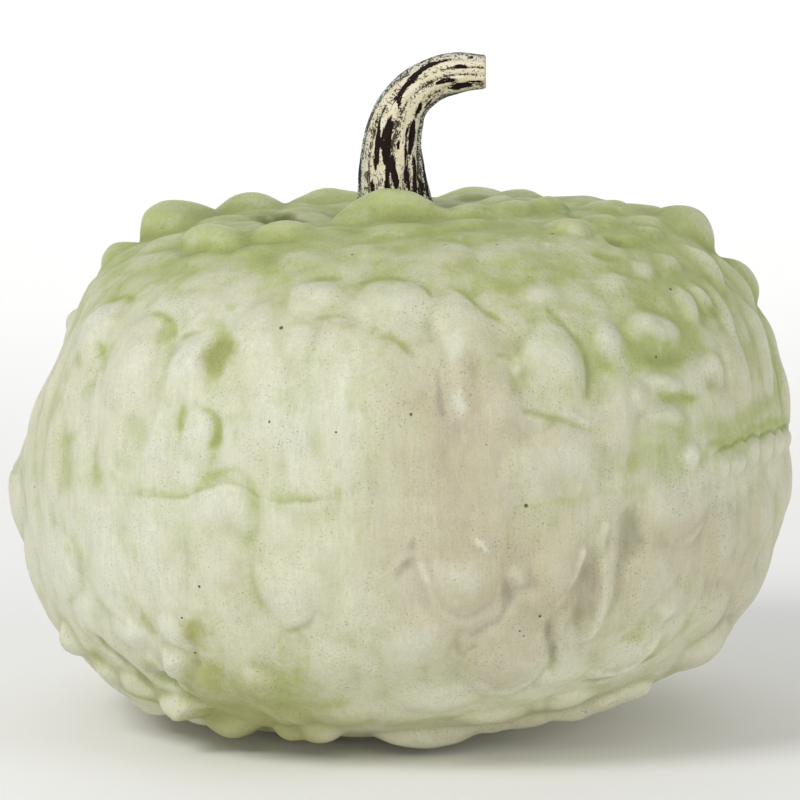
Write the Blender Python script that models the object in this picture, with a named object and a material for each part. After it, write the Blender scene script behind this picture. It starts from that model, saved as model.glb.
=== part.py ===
"""A warty ceramic pumpkin ornament, in metres, +Z up, standing on the XY plane with its front facing -Y.

The body is two half shells, joined on the inside by a bead of slip along the mould seam. The whole body
leans a little on its foot, so everything that belongs to it is a child of the body_axis empty. A cast stem
stands on a dowel and a bed of adhesive in the crown, and four felt pads carry the foot.
"""

import math
import random

import bmesh
import bpy
import numpy as np

MM = 0.001

# Driving dimensions of the body, before its knobs. Heights are from the body's own centre.
HALF_WIDTH = 145.5 * MM
DEPTH_SHARE = 0.985
TOP_HEIGHT = 99.0 * MM
BOTTOM_HEIGHT = 95.0 * MM
TOP_SQUARENESS = 3.15
BOTTOM_SQUARENESS = 2.75
LEAN = math.radians(3.4)
SEAM_HEIGHT = 10.0 * MM
WALL = 7.0 * MM
CROWN_THICKNESS = 15.0 * MM
FLOOR_THICKNESS = 8.0 * MM
GAP = 0.3 * MM

# The foot and what is under it. Heights are from the table.
PAD_RADIUS = 9.0 * MM
PAD_THICKNESS = 2.0 * MM
PAD_CIRCLE = 44.0 * MM
PAD_COUNT = 4
FOOT_HEIGHT = PAD_THICKNESS + GAP
FOOT_RADIUS = 57.0 * MM
FOOT_DEPTH = 9.0 * MM
CENTRE_HEIGHT = FOOT_HEIGHT + BOTTOM_HEIGHT - 2.0 * MM
RECESS_RADIUS = 30.0 * MM
RECESS_DEPTH = 2.5 * MM
VENT_RADIUS = 8.0 * MM

# The stem's seat in the crown and the dowel in it, in the body's own frame.
SEAT_X = 4.0 * MM
SEAT_RADIUS = 17.5 * MM
SEAT_HEIGHT = 90.0 * MM
DOWEL_RADIUS = 5.0 * MM
DOWEL_BELOW = 14.0 * MM
DOWEL_ABOVE = 18.0 * MM
DOWEL_PLAY = 0.6 * MM
ADHESIVE_THICKNESS = 1.2 * MM
STEM_FOOT = SEAT_HEIGHT + ADHESIVE_THICKNESS + 2 * GAP

# The stem's centre line as (x, y, height, radius) in mm, in the body's own frame.
STEM_LINE = (
    (4.0, 0.0, STEM_FOOT / MM, 16.4),
    (4.0, 0.0, 97.0, 15.2),
    (4.0, 0.0, 104.0, 13.6),
    (4.0, 0.0, 113.0, 12.1),
    (4.4, 0.0, 122.0, 10.9),
    (6.4, -0.2, 130.6, 9.9),
    (9.2, -0.4, 137.1, 9.0),
    (14.4, -0.8, 143.0, 8.2),
    (22.0, -1.4, 147.4, 7.9),
    (31.0, -2.2, 149.4, 7.5),
    (41.0, -3.4, 149.2, 6.5),
)
STEM_RIBS = 7
STEM_RIB_DEPTH = 0.07
STEM_SIDES = 42

# The bead of slip along the inside of the seam.
BEAD_RADIUS = 4.5 * MM
BEAD_INSET = 1.5 * MM

BODY_DIVISIONS = 25
CAVITY_DIVISIONS = 13
BEAD_POINTS = 48

# Broad swells and dents of wall and cavity together: longitude and latitude in degrees, half width,
# half height and rise in mm. Longitude 0 faces the front and 90 faces +X.
SWELLS = (
    (-88, 21, 85, 50, -9.0),
    (100, 40, 75, 34, 5.0),
    (94, 4, 75, 44, 3.0),
    (75, -36, 60, 30, 3.0),
    (-65, -34, 50, 26, 2.5),
    (0, 90, 50, 50, -7.0),
)

# The knobs that shape the outline and the front: longitude and latitude in degrees, half width, half
# height and rise in mm, and the tilt of the long axis in degrees, clockwise as seen from outside.
KNOBS = (
    # the crown and its rim
    (4, 72, 20, 16, 11.0, 0),
    (-60, 50, 19, 15, 6.0, 0),
    (-36, 60, 18, 14, 6.0, 0),
    (0, 51, 24, 13, 4.0, 0),
    (34, 47, 20, 14, 4.5, 0),
    (64, 56, 20, 15, 4.5, 0),
    (74, 45, 16, 14, 4.0, 0),
    (94, 29, 16, 15, 8.0, 0),
    (110, 36, 21, 18, 8.5, 0),
    (129, 45, 22, 18, 4.5, 0),
    (148, 50, 22, 17, 4.5, 0),
    (-166, 53, 24, 18, 5.5, 0),
    (-138, 49, 21, 17, 8.5, 0),
    (-118, 52, 18, 16, 7.0, 0),
    (-103, 46, 19, 18, 12.0, 0),
    (-80, 40, 20, 16, 5.0, 0),
    # the upper half, from left to right
    (-88, 3, 34, 14, 5.0, 0),
    (-66, 24, 15, 19, 4.5, 10),
    (-62, 6, 14, 20, 3.0, 8),
    (-45, 16, 15, 28, 4.0, 0),
    (-38, 38, 22, 14, 3.5, 0),
    (-31, 18, 12, 20, 3.5, 0),
    (-8, 37, 26, 14, 4.0, 0),
    (-5, 16, 24, 30, 4.0, 0),
    (13, 20, 14, 26, 4.0, 0),
    (25, 17, 15, 28, 4.5, 0),
    (22, 34, 20, 14, 3.5, 0),
    (43, 26, 20, 14, 5.0, 0),
    (41, 11, 16, 16, 4.0, 0),
    (59, 27, 15, 22, 4.0, 10),
    (74, 20, 13, 28, 4.5, 10),
    (66, 8, 16, 18, 3.5, 0),
    (92, 10, 20, 24, 3.0, 0),
    # the lower half, from left to right
    (-24, 2, 13, 11, 4.0, 0),
    (-70, -14, 17, 22, 3.0, 0),
    (-50, -12, 16, 24, 3.0, 0),
    (-26, -10, 18, 24, 3.0, 0),
    (-72, -24, 15, 13, 5.0, 0),
    (-60, -34, 17, 14, 6.0, 0),
    (-42, -40, 20, 16, 7.0, 0),
    (-27, -44, 16, 13, 5.0, 0),
    (-38, -22, 18, 16, 3.5, 0),
    (-10, -27, 22, 18, 3.0, 0),
    (9, -9, 16, 19, 5.0, 15),
    (25, -12, 14, 20, 4.0, 12),
    (43, -6, 22, 18, 4.5, 0),
    (17, -26, 24, 16, 4.5, 0),
    (40, -23, 24, 16, 4.5, 0),
    (4, -48, 25, 16, 7.0, 0),
    (30, -46, 20, 14, 5.0, 0),
    (50, -40, 18, 14, 5.0, 0),
    (66, -30, 20, 16, 5.0, 0),
    (62, -10, 18, 22, 4.0, 0),
    (84, -14, 18, 24, 4.0, 0),
)

# The back is covered by knobs spread evenly by the golden angle, with their sizes from a fixed seed.
BACK_FROM = 102
BACK_SEED = 11
BACK_SPREAD = 150
BACK_LATITUDES = (-50, 56)
EDGE_POWER = 1.4
BLEND = 1.5 * MM

COLOURS = {
    "upper_shell": (0.66, 0.69, 0.45, 1.0),
    "lower_shell": (0.70, 0.70, 0.56, 1.0),
    "seam_bead": (0.72, 0.69, 0.60, 1.0),
    "stem": (0.62, 0.55, 0.40, 1.0),
    "stem_dowel": (0.62, 0.44, 0.26, 1.0),
    "stem_adhesive": (0.75, 0.68, 0.45, 1.0),
    "felt_pad": (0.16, 0.13, 0.10, 1.0),
}
ROUGHNESS = {"felt_pad": 0.95, "stem_dowel": 0.7, "stem_adhesive": 0.3}
PLAIN_ROUGHNESS = 0.5


def base_radius(latitude, inset=0.0, crown_inset=0.0, floor_inset=0.0):
    """Distance from the body's centre to its smooth surface, a squarish oval turned about the axis."""
    across = np.abs(np.cos(latitude)) / (HALF_WIDTH - inset)
    top = np.abs(np.sin(latitude)) / (TOP_HEIGHT - crown_inset)
    bottom = np.abs(np.sin(latitude)) / (BOTTOM_HEIGHT - floor_inset)
    above = (across**TOP_SQUARENESS + top**TOP_SQUARENESS) ** (-1 / TOP_SQUARENESS)
    below = (across**BOTTOM_SQUARENESS + bottom**BOTTOM_SQUARENESS) ** (-1 / BOTTOM_SQUARENESS)
    return np.where(latitude >= 0, above, below)


def direction(longitude, latitude):
    """Unit vectors for angles in radians: longitude 0 is -Y, and it grows towards +X."""
    level = np.cos(latitude)
    return np.stack(
        [level * np.sin(longitude), -level * np.cos(longitude), np.sin(latitude)], axis=-1
    )


def base_point(longitude, latitude):
    return direction(longitude, latitude) * base_radius(latitude)[..., None]


def mound(points, longitude, latitude, half_width, half_height, rise, tilt=0.0, power=EDGE_POWER):
    """The rise of one oval mound at each point of the smooth surface."""
    lon, lat = math.radians(longitude), np.array(math.radians(latitude))
    centre = base_point(lon, lat)
    east = np.array([math.cos(lon), math.sin(lon), 0.0])
    north = base_point(lon, lat + 0.001) - base_point(lon, lat - 0.001)
    north /= np.linalg.norm(north)
    turn = math.radians(tilt)
    offset = points - centre
    along_east, along_north = offset @ east, offset @ north
    across = along_east * math.cos(turn) - along_north * math.sin(turn)
    up = along_east * math.sin(turn) + along_north * math.cos(turn)
    far = (across / (half_width * MM)) ** 2 + (up / (half_height * MM)) ** 2
    reach = 1.6 * max(half_width, half_height) * MM
    near = np.linalg.norm(offset, axis=-1) < reach
    return np.where(near, rise * MM * np.clip(1 - far, 0, 1) ** power, 0.0)


def back_knobs():
    """Knobs for the half that faces away, as rows like those of KNOBS."""
    dice = random.Random(BACK_SEED)
    lowest, highest = (math.sin(math.radians(a)) for a in BACK_LATITUDES)
    rows = []
    for i in range(BACK_SPREAD):
        latitude = math.degrees(math.asin(lowest + (highest - lowest) * (i + 0.5) / BACK_SPREAD))
        longitude = (i * 137.508) % 360 - 180 + dice.uniform(-3, 3)
        half_width = dice.uniform(12, 20)
        half_height = dice.uniform(12, 24)
        rise = dice.uniform(3.5, 6.5)
        tilt = dice.uniform(-20, 20)
        if abs(longitude) > BACK_FROM:
            rows.append((longitude, latitude, half_width, half_height, rise, tilt))
    return rows


def swell(points):
    return sum(mound(points, *row, power=2.0) for row in SWELLS)


def knobbly(points):
    """All knobs together, blended so that neighbours meet in a soft crease."""
    total = np.zeros(len(points))
    for row in (*KNOBS, *back_knobs()):
        total += np.exp(mound(points, *row) / BLEND) - 1
    return BLEND * np.log1p(total)


def even_sphere(bm, divisions):
    """A sphere of near-even square faces: a cube, each side cut into that many strips both ways."""
    bmesh.ops.create_cube(bm, size=2.0)
    bmesh.ops.subdivide_edges(bm, edges=bm.edges[:], cuts=divisions - 1, use_grid_fill=True)
    rays = np.tan(np.array([v.co for v in bm.verts]) * math.pi / 4)
    return rays / np.linalg.norm(rays, axis=1)[:, None]


def shape_sphere(name, divisions, radius_of, with_knobs):
    """A closed mesh from a sphere, each point moved along its ray to the radius that the shape has there."""
    bm = bmesh.new()
    rays = even_sphere(bm, divisions)
    latitude = np.arcsin(np.clip(rays[:, 2], -1, 1))
    surface = rays * base_radius(latitude)[:, None]
    radius = radius_of(latitude) + swell(surface)
    if with_knobs:
        radius = radius + knobbly(surface)
    for vertex, ray, length in zip(bm.verts, rays, radius):
        vertex.co = ray * length
        vertex.co.y *= DEPTH_SHARE
    for face in bm.faces:
        face.smooth = True
    mesh = bpy.data.meshes.new(name)
    bm.to_mesh(mesh)
    bm.free()
    return mesh


def material(name):
    found = bpy.data.materials.get(name)
    if found:
        return found
    made = bpy.data.materials.new(name)
    made.use_nodes = True
    shader = made.node_tree.nodes["Principled BSDF"]
    shader.inputs["Base Color"].default_value = COLOURS[name]
    shader.inputs["Roughness"].default_value = ROUGHNESS.get(name, PLAIN_ROUGHNESS)
    shader.inputs["Metallic"].default_value = 0.0
    return made


def put(obj, collection, parent=None, look=None):
    """Moves the object to the collection, under the parent, with the material named by look."""
    for holder in list(obj.users_collection):
        holder.objects.unlink(obj)
    collection.objects.link(obj)
    obj.parent = parent
    if look:
        obj.data.materials.clear()
        obj.data.materials.append(material(look))
    return obj


def cylinder(name, radius, bottom, top, x=0.0, y=0.0, sides=48):
    bpy.ops.mesh.primitive_cylinder_add(
        vertices=sides, radius=radius, depth=top - bottom, location=(x, y, (top + bottom) / 2)
    )
    made = bpy.context.object
    made.name = name
    return made


def box(name, centre, size):
    bpy.ops.mesh.primitive_cube_add(size=1.0, location=centre)
    made = bpy.context.object
    made.name = name
    made.scale = size
    bpy.ops.object.transform_apply(location=False, rotation=False, scale=True)
    return made


def as_cutter(obj, collection, parent=None):
    put(obj, collection, parent)
    obj.hide_render = True
    obj.display_type = "WIRE"
    return obj


def boolean(obj, other, operation="DIFFERENCE"):
    modifier = obj.modifiers.new(other.name, "BOOLEAN")
    modifier.operation = operation
    modifier.solver = "EXACT"
    modifier.object = other
    return modifier


def half_shell(name, mesh, parts, axis, cutters, kept_side, foot=None):
    """One half of the hollow body: the outer form and its foot, less the cutters, on one side of the seam."""
    shell = bpy.data.objects.new(name, mesh)
    put(shell, parts, axis, name)
    if foot:
        boolean(shell, foot, "UNION")
    for cutter in cutters:
        boolean(shell, cutter)
    boolean(shell, kept_side, "INTERSECT")
    return shell


def swept_mesh(name, curve, collection):
    """The curve as a closed mesh, with the points that its caps share joined."""
    swept = bpy.data.objects.new(name, curve)
    collection.objects.link(swept)
    bpy.context.view_layer.update()
    graph = bpy.context.evaluated_depsgraph_get()
    mesh = bpy.data.meshes.new_from_object(swept.evaluated_get(graph))
    bpy.data.objects.remove(swept)
    bm = bmesh.new()
    bm.from_mesh(mesh)
    bmesh.ops.remove_doubles(bm, verts=bm.verts, dist=0.01 * MM)
    bmesh.ops.recalc_face_normals(bm, faces=bm.faces)
    bm.to_mesh(mesh)
    bm.free()
    return mesh


def cavity_radius(latitude, clearance=0.0):
    insets = (WALL, CROWN_THICKNESS, FLOOR_THICKNESS)
    return base_radius(latitude, *(inset + clearance for inset in insets))


def seam_bead(parts, helpers, axis):
    """The bead of slip that joins the halves: a round ring along the seam, trimmed to clear the wall."""
    curve = bpy.data.curves.new("seam_bead", "CURVE")
    curve.dimensions = "3D"
    spline = curve.splines.new("POLY")
    spline.points.add(BEAD_POINTS - 1)
    for i, point in enumerate(spline.points):
        angle = 2 * math.pi * i / BEAD_POINTS
        latitude = np.array([math.atan2(SEAM_HEIGHT, HALF_WIDTH - WALL)])
        surface = direction(np.array([angle]), latitude) * base_radius(latitude)[:, None]
        reach = (cavity_radius(latitude) + swell(surface))[0] * math.cos(latitude[0]) - BEAD_INSET
        x, y = reach * math.sin(angle), -reach * math.cos(angle) * DEPTH_SHARE
        point.co = (x, y, SEAM_HEIGHT, 1.0)
    spline.use_cyclic_u = True
    curve.bevel_depth = BEAD_RADIUS
    curve.bevel_resolution = 1
    bead = bpy.data.objects.new("seam_bead", swept_mesh("bead_sweep", curve, helpers))
    put(bead, parts, axis, "seam_bead")
    room = shape_sphere(
        "bead_room",
        CAVITY_DIVISIONS,
        lambda latitude: cavity_radius(latitude, 2 * GAP),
        False,
    )
    boolean(bead, as_cutter(bpy.data.objects.new("bead_room", room), helpers, axis), "INTERSECT")
    return bead


def rib_section(collection):
    """The stem's lobed cross-section, of radius 1, for the curve to sweep."""
    outline = bpy.data.curves.new("stem_section", "CURVE")
    outline.dimensions = "2D"
    spline = outline.splines.new("POLY")
    spline.points.add(STEM_SIDES - 1)
    for i, point in enumerate(spline.points):
        angle = 2 * math.pi * i / STEM_SIDES
        radius = 1 - STEM_RIB_DEPTH * (1 - math.cos(STEM_RIBS * angle)) / 2
        point.co = (radius * math.cos(angle), radius * math.sin(angle), 0, 1)
    spline.use_cyclic_u = True
    return as_cutter(bpy.data.objects.new("stem_section", outline), collection)


def stem(parts, helpers, axis):
    """The ribbed stem, swept along its bent line, with the dowel's hole in its foot."""
    path = bpy.data.curves.new("stem", "CURVE")
    path.dimensions = "3D"
    path.twist_mode = "MINIMUM"
    path.bevel_mode = "OBJECT"
    path.bevel_object = rib_section(helpers)
    path.use_fill_caps = True
    spline = path.splines.new("POLY")
    spline.points.add(len(STEM_LINE) - 1)
    for point, (x, y, height, radius) in zip(spline.points, STEM_LINE):
        point.co = (x * MM, y * MM, height * MM, 1.0)
        point.radius = radius * MM
    mesh = swept_mesh("stem_sweep", path, helpers)
    made = put(bpy.data.objects.new("stem", mesh), parts, axis, "stem")
    top = STEM_FOOT + DOWEL_ABOVE + 2 * GAP
    hole = cylinder(
        "stem_hole_cutter", DOWEL_RADIUS + GAP, STEM_FOOT - 5 * MM, top, SEAT_X, sides=24
    )
    boolean(made, as_cutter(hole, helpers, axis))
    return made


def adhesive(parts, helpers, axis):
    """The bed of adhesive under the stem's foot, open in the middle for the dowel."""
    bottom = SEAT_HEIGHT + GAP
    bed = cylinder(
        "stem_adhesive", SEAT_RADIUS - 3 * MM, bottom, bottom + ADHESIVE_THICKNESS, SEAT_X
    )
    put(bed, parts, axis, "stem_adhesive")
    middle = cylinder(
        "adhesive_cutter", DOWEL_RADIUS + GAP, bottom - 2 * MM, bottom + 4 * MM, SEAT_X, sides=24
    )
    boolean(bed, as_cutter(middle, helpers, axis))
    return bed


def felt_pads(parts):
    for i in range(PAD_COUNT):
        angle = math.pi / PAD_COUNT + 2 * math.pi * i / PAD_COUNT
        x, y = PAD_CIRCLE * math.cos(angle), PAD_CIRCLE * math.sin(angle)
        pad = cylinder(f"felt_pad_{i + 1}", PAD_RADIUS, 0.0, PAD_THICKNESS, x, y, sides=32)
        put(pad, parts, look="felt_pad")


def main():
    for obj in list(bpy.data.objects):
        bpy.data.objects.remove(obj)
    parts = bpy.data.collections.new("warty_pumpkin")
    helpers = bpy.data.collections.new("cutters")
    for collection in (parts, helpers):
        bpy.context.scene.collection.children.link(collection)
    axis = bpy.data.objects.new("body_axis", None)
    axis.location = (0, 0, CENTRE_HEIGHT)
    axis.rotation_euler = (0, -LEAN, 0)
    parts.objects.link(axis)

    outer = shape_sphere("body_form", BODY_DIVISIONS, base_radius, True)
    hollow = shape_sphere(
        "cavity_cutter", CAVITY_DIVISIONS, cavity_radius, False
    )
    cavity = as_cutter(bpy.data.objects.new("cavity_cutter", hollow), helpers, axis)

    span, tall = 2.4 * HALF_WIDTH, 2 * TOP_HEIGHT
    upper_side = box(
        "upper_side", (0, 0, SEAM_HEIGHT + GAP / 2 + tall / 2), (span, span, tall)
    )
    lower_side = box(
        "lower_side", (0, 0, SEAM_HEIGHT - GAP / 2 - tall / 2), (span, span, tall)
    )
    seat = cylinder("seat_cutter", SEAT_RADIUS, SEAT_HEIGHT, SEAT_HEIGHT + 40 * MM, SEAT_X)
    bore_bottom = SEAT_HEIGHT - 2 * CROWN_THICKNESS
    dowel_bore = cylinder(
        "dowel_bore", DOWEL_RADIUS + DOWEL_PLAY, bore_bottom, SEAT_HEIGHT + MM, SEAT_X, sides=24
    )
    for cutter in (upper_side, lower_side, seat, dowel_bore):
        as_cutter(cutter, helpers, axis)

    below_foot = box("below_foot", (0, 0, FOOT_HEIGHT - span / 2), (span, span, span))
    recess = cylinder(
        "recess_cutter", RECESS_RADIUS, FOOT_HEIGHT - 5 * MM, FOOT_HEIGHT + RECESS_DEPTH
    )
    vent = cylinder("vent_cutter", VENT_RADIUS, -5 * MM, FOOT_HEIGHT + 25 * MM, sides=32)
    foot = cylinder("foot_form", FOOT_RADIUS, FOOT_HEIGHT - MM, FOOT_HEIGHT + FOOT_DEPTH, sides=64)
    for helper in (below_foot, recess, vent, foot):
        as_cutter(helper, helpers)

    half_shell("upper_shell", outer, parts, axis, (cavity, seat, dowel_bore), upper_side)
    underside = (cavity, below_foot, recess, vent)
    half_shell("lower_shell", outer.copy(), parts, axis, underside, lower_side, foot)
    seam_bead(parts, helpers, axis)
    stem(parts, helpers, axis)
    dowel = cylinder(
        "stem_dowel",
        DOWEL_RADIUS,
        SEAT_HEIGHT - DOWEL_BELOW,
        STEM_FOOT + DOWEL_ABOVE,
        SEAT_X,
        sides=24,
    )
    put(dowel, parts, axis, "stem_dowel")
    adhesive(parts, helpers, axis)
    felt_pads(parts)


main()
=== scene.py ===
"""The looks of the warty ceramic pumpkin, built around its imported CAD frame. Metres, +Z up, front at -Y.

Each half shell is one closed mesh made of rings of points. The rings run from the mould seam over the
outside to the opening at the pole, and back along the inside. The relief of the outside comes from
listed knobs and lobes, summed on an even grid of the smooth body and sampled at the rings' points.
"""

import math
import random

import bpy
import numpy as np
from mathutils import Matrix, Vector


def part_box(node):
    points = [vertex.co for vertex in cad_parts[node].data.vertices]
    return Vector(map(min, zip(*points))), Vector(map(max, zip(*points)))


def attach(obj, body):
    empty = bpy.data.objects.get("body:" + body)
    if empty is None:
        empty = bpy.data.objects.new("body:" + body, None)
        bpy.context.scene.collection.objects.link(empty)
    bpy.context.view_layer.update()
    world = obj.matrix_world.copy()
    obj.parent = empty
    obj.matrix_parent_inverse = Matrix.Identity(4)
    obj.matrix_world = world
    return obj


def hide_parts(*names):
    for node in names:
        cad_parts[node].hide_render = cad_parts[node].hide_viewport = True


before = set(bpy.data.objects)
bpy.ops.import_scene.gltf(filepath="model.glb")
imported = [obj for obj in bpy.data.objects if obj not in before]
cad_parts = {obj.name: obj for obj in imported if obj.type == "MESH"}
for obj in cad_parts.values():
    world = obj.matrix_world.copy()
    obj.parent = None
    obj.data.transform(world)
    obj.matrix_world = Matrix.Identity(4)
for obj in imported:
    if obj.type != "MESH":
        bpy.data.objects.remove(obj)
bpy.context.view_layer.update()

MM = 0.001

# The smooth body, as in the CAD source. Heights are from the body's own centre.
HALF_WIDTH = 145.5 * MM
DEPTH_SHARE = 0.985
TOP_HEIGHT = 99.0 * MM
BOTTOM_HEIGHT = 95.0 * MM
TOP_SQUARENESS = 3.15
BOTTOM_SQUARENESS = 2.75
LEAN = math.radians(3.4)
SEAM_HEIGHT = 10.0 * MM
WALL = 7.0 * MM
CROWN_THICKNESS = 15.0 * MM
FLOOR_THICKNESS = 8.0 * MM

PAD_RADIUS = 9.0 * MM
PAD_THICKNESS = 2.0 * MM
FOOT_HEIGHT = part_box("lower_shell")[0].z
FOOT_RADIUS = 57.0 * MM
CENTRE_HEIGHT = FOOT_HEIGHT + BOTTOM_HEIGHT - 2.0 * MM
RECESS_RADIUS = 30.0 * MM
RECESS_DEPTH = 2.5 * MM
VENT_RADIUS = 8.0 * MM

SEAT_X = 4.0 * MM
SEAT_RADIUS = 17.5 * MM
SEAT_HEIGHT = 90.0 * MM
BORE_RADIUS = 5.6 * MM
DOWEL_RADIUS = 5.0 * MM
DOWEL_ABOVE = 18.0 * MM
STEM_FOOT = 91.8 * MM
STEM_RIBS = 11
STEM_RIB_DEPTH = 0.085
STEM_TWIST = 0.55
STEM_RINGS = 190
STEM_COLUMNS = 128

# How the shells are divided: columns round, and rings from the seam to the split, where every second column
# ends, and from there to the pole.
COLUMNS = 672
WALL_RINGS = 92
CROWN_RINGS = 78
FLOOR_RINGS = 52
FIRST_STEP = 0.35
SETTLING_RINGS = 9
SPLIT = 118 * MM
FOOT_EDGE = 62 * MM
CLEAR_OF_FLOOR = 0.5 * MM
SEAM_LATITUDE = 4.0
SEAM_STEPS = 6

FRONT_CALM = 0.95
SCATTER_SEED = 5
SCATTER_COUNT = 420
GOLDEN_ANGLE = 137.508
BLEND = 1.0 * MM
SOFT = 1.0 * MM
SWELL_POWER = 2.0
PATCH_POWER = 1.6
LATTICE_SIZE = 24
LATTICE = np.random.default_rng(7).random((4,) + (LATTICE_SIZE,) * 3) * 2 - 1

# The tables below were typed while looking at the object. Longitudes and latitudes are in degrees
# on the smooth body: longitude 0 faces the front and 90 faces +X. Lengths are in mm.

# The stem's centre line: x, y, height and radius, in the body's own frame.
STEM_LINE = (
    (4, 0, 91.8, 16.4), (4, 0, 97, 15.8), (4, 0, 104, 14.3), (3.8, 0, 113, 12.8), (4.2, 0, 122, 11.5),
    (6.1, -0.2, 130.8, 10.5), (8.9, -0.4, 137.4, 9.6), (14.2, -0.8, 143.2, 8.7), (22, -1.3, 147.6, 8.1),
    (31, -1.8, 149.4, 7.5), (40.6, -2, 149, 6.4),
)

# Broad swells of the body: longitude, latitude, half width, half height, rise.
SWELLS = (
    (-88, 22, 85, 50, -11.5), (-90, 15, 44, 30, -3.2), (-92, -14, 40, 22, -3.6), (100, 40, 75, 34, 5),
    (94, 4, 75, 44, 3), (75, -36, 60, 30, 1), (-65, -34, 50, 26, 2.5), (0, 90, 50, 50, -7),
)

# The cavity follows the swells of the CAD source, so its wall stays clear of the seam bead.
CAVITY_SWELLS = (
    (-88, 21, 85, 50, -9), (100, 40, 75, 34, 5), (94, 4, 75, 44, 3), (75, -36, 60, 30, 3),
    (-65, -34, 50, 26, 2.5), (0, 90, 50, 50, -7),
)

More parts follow.
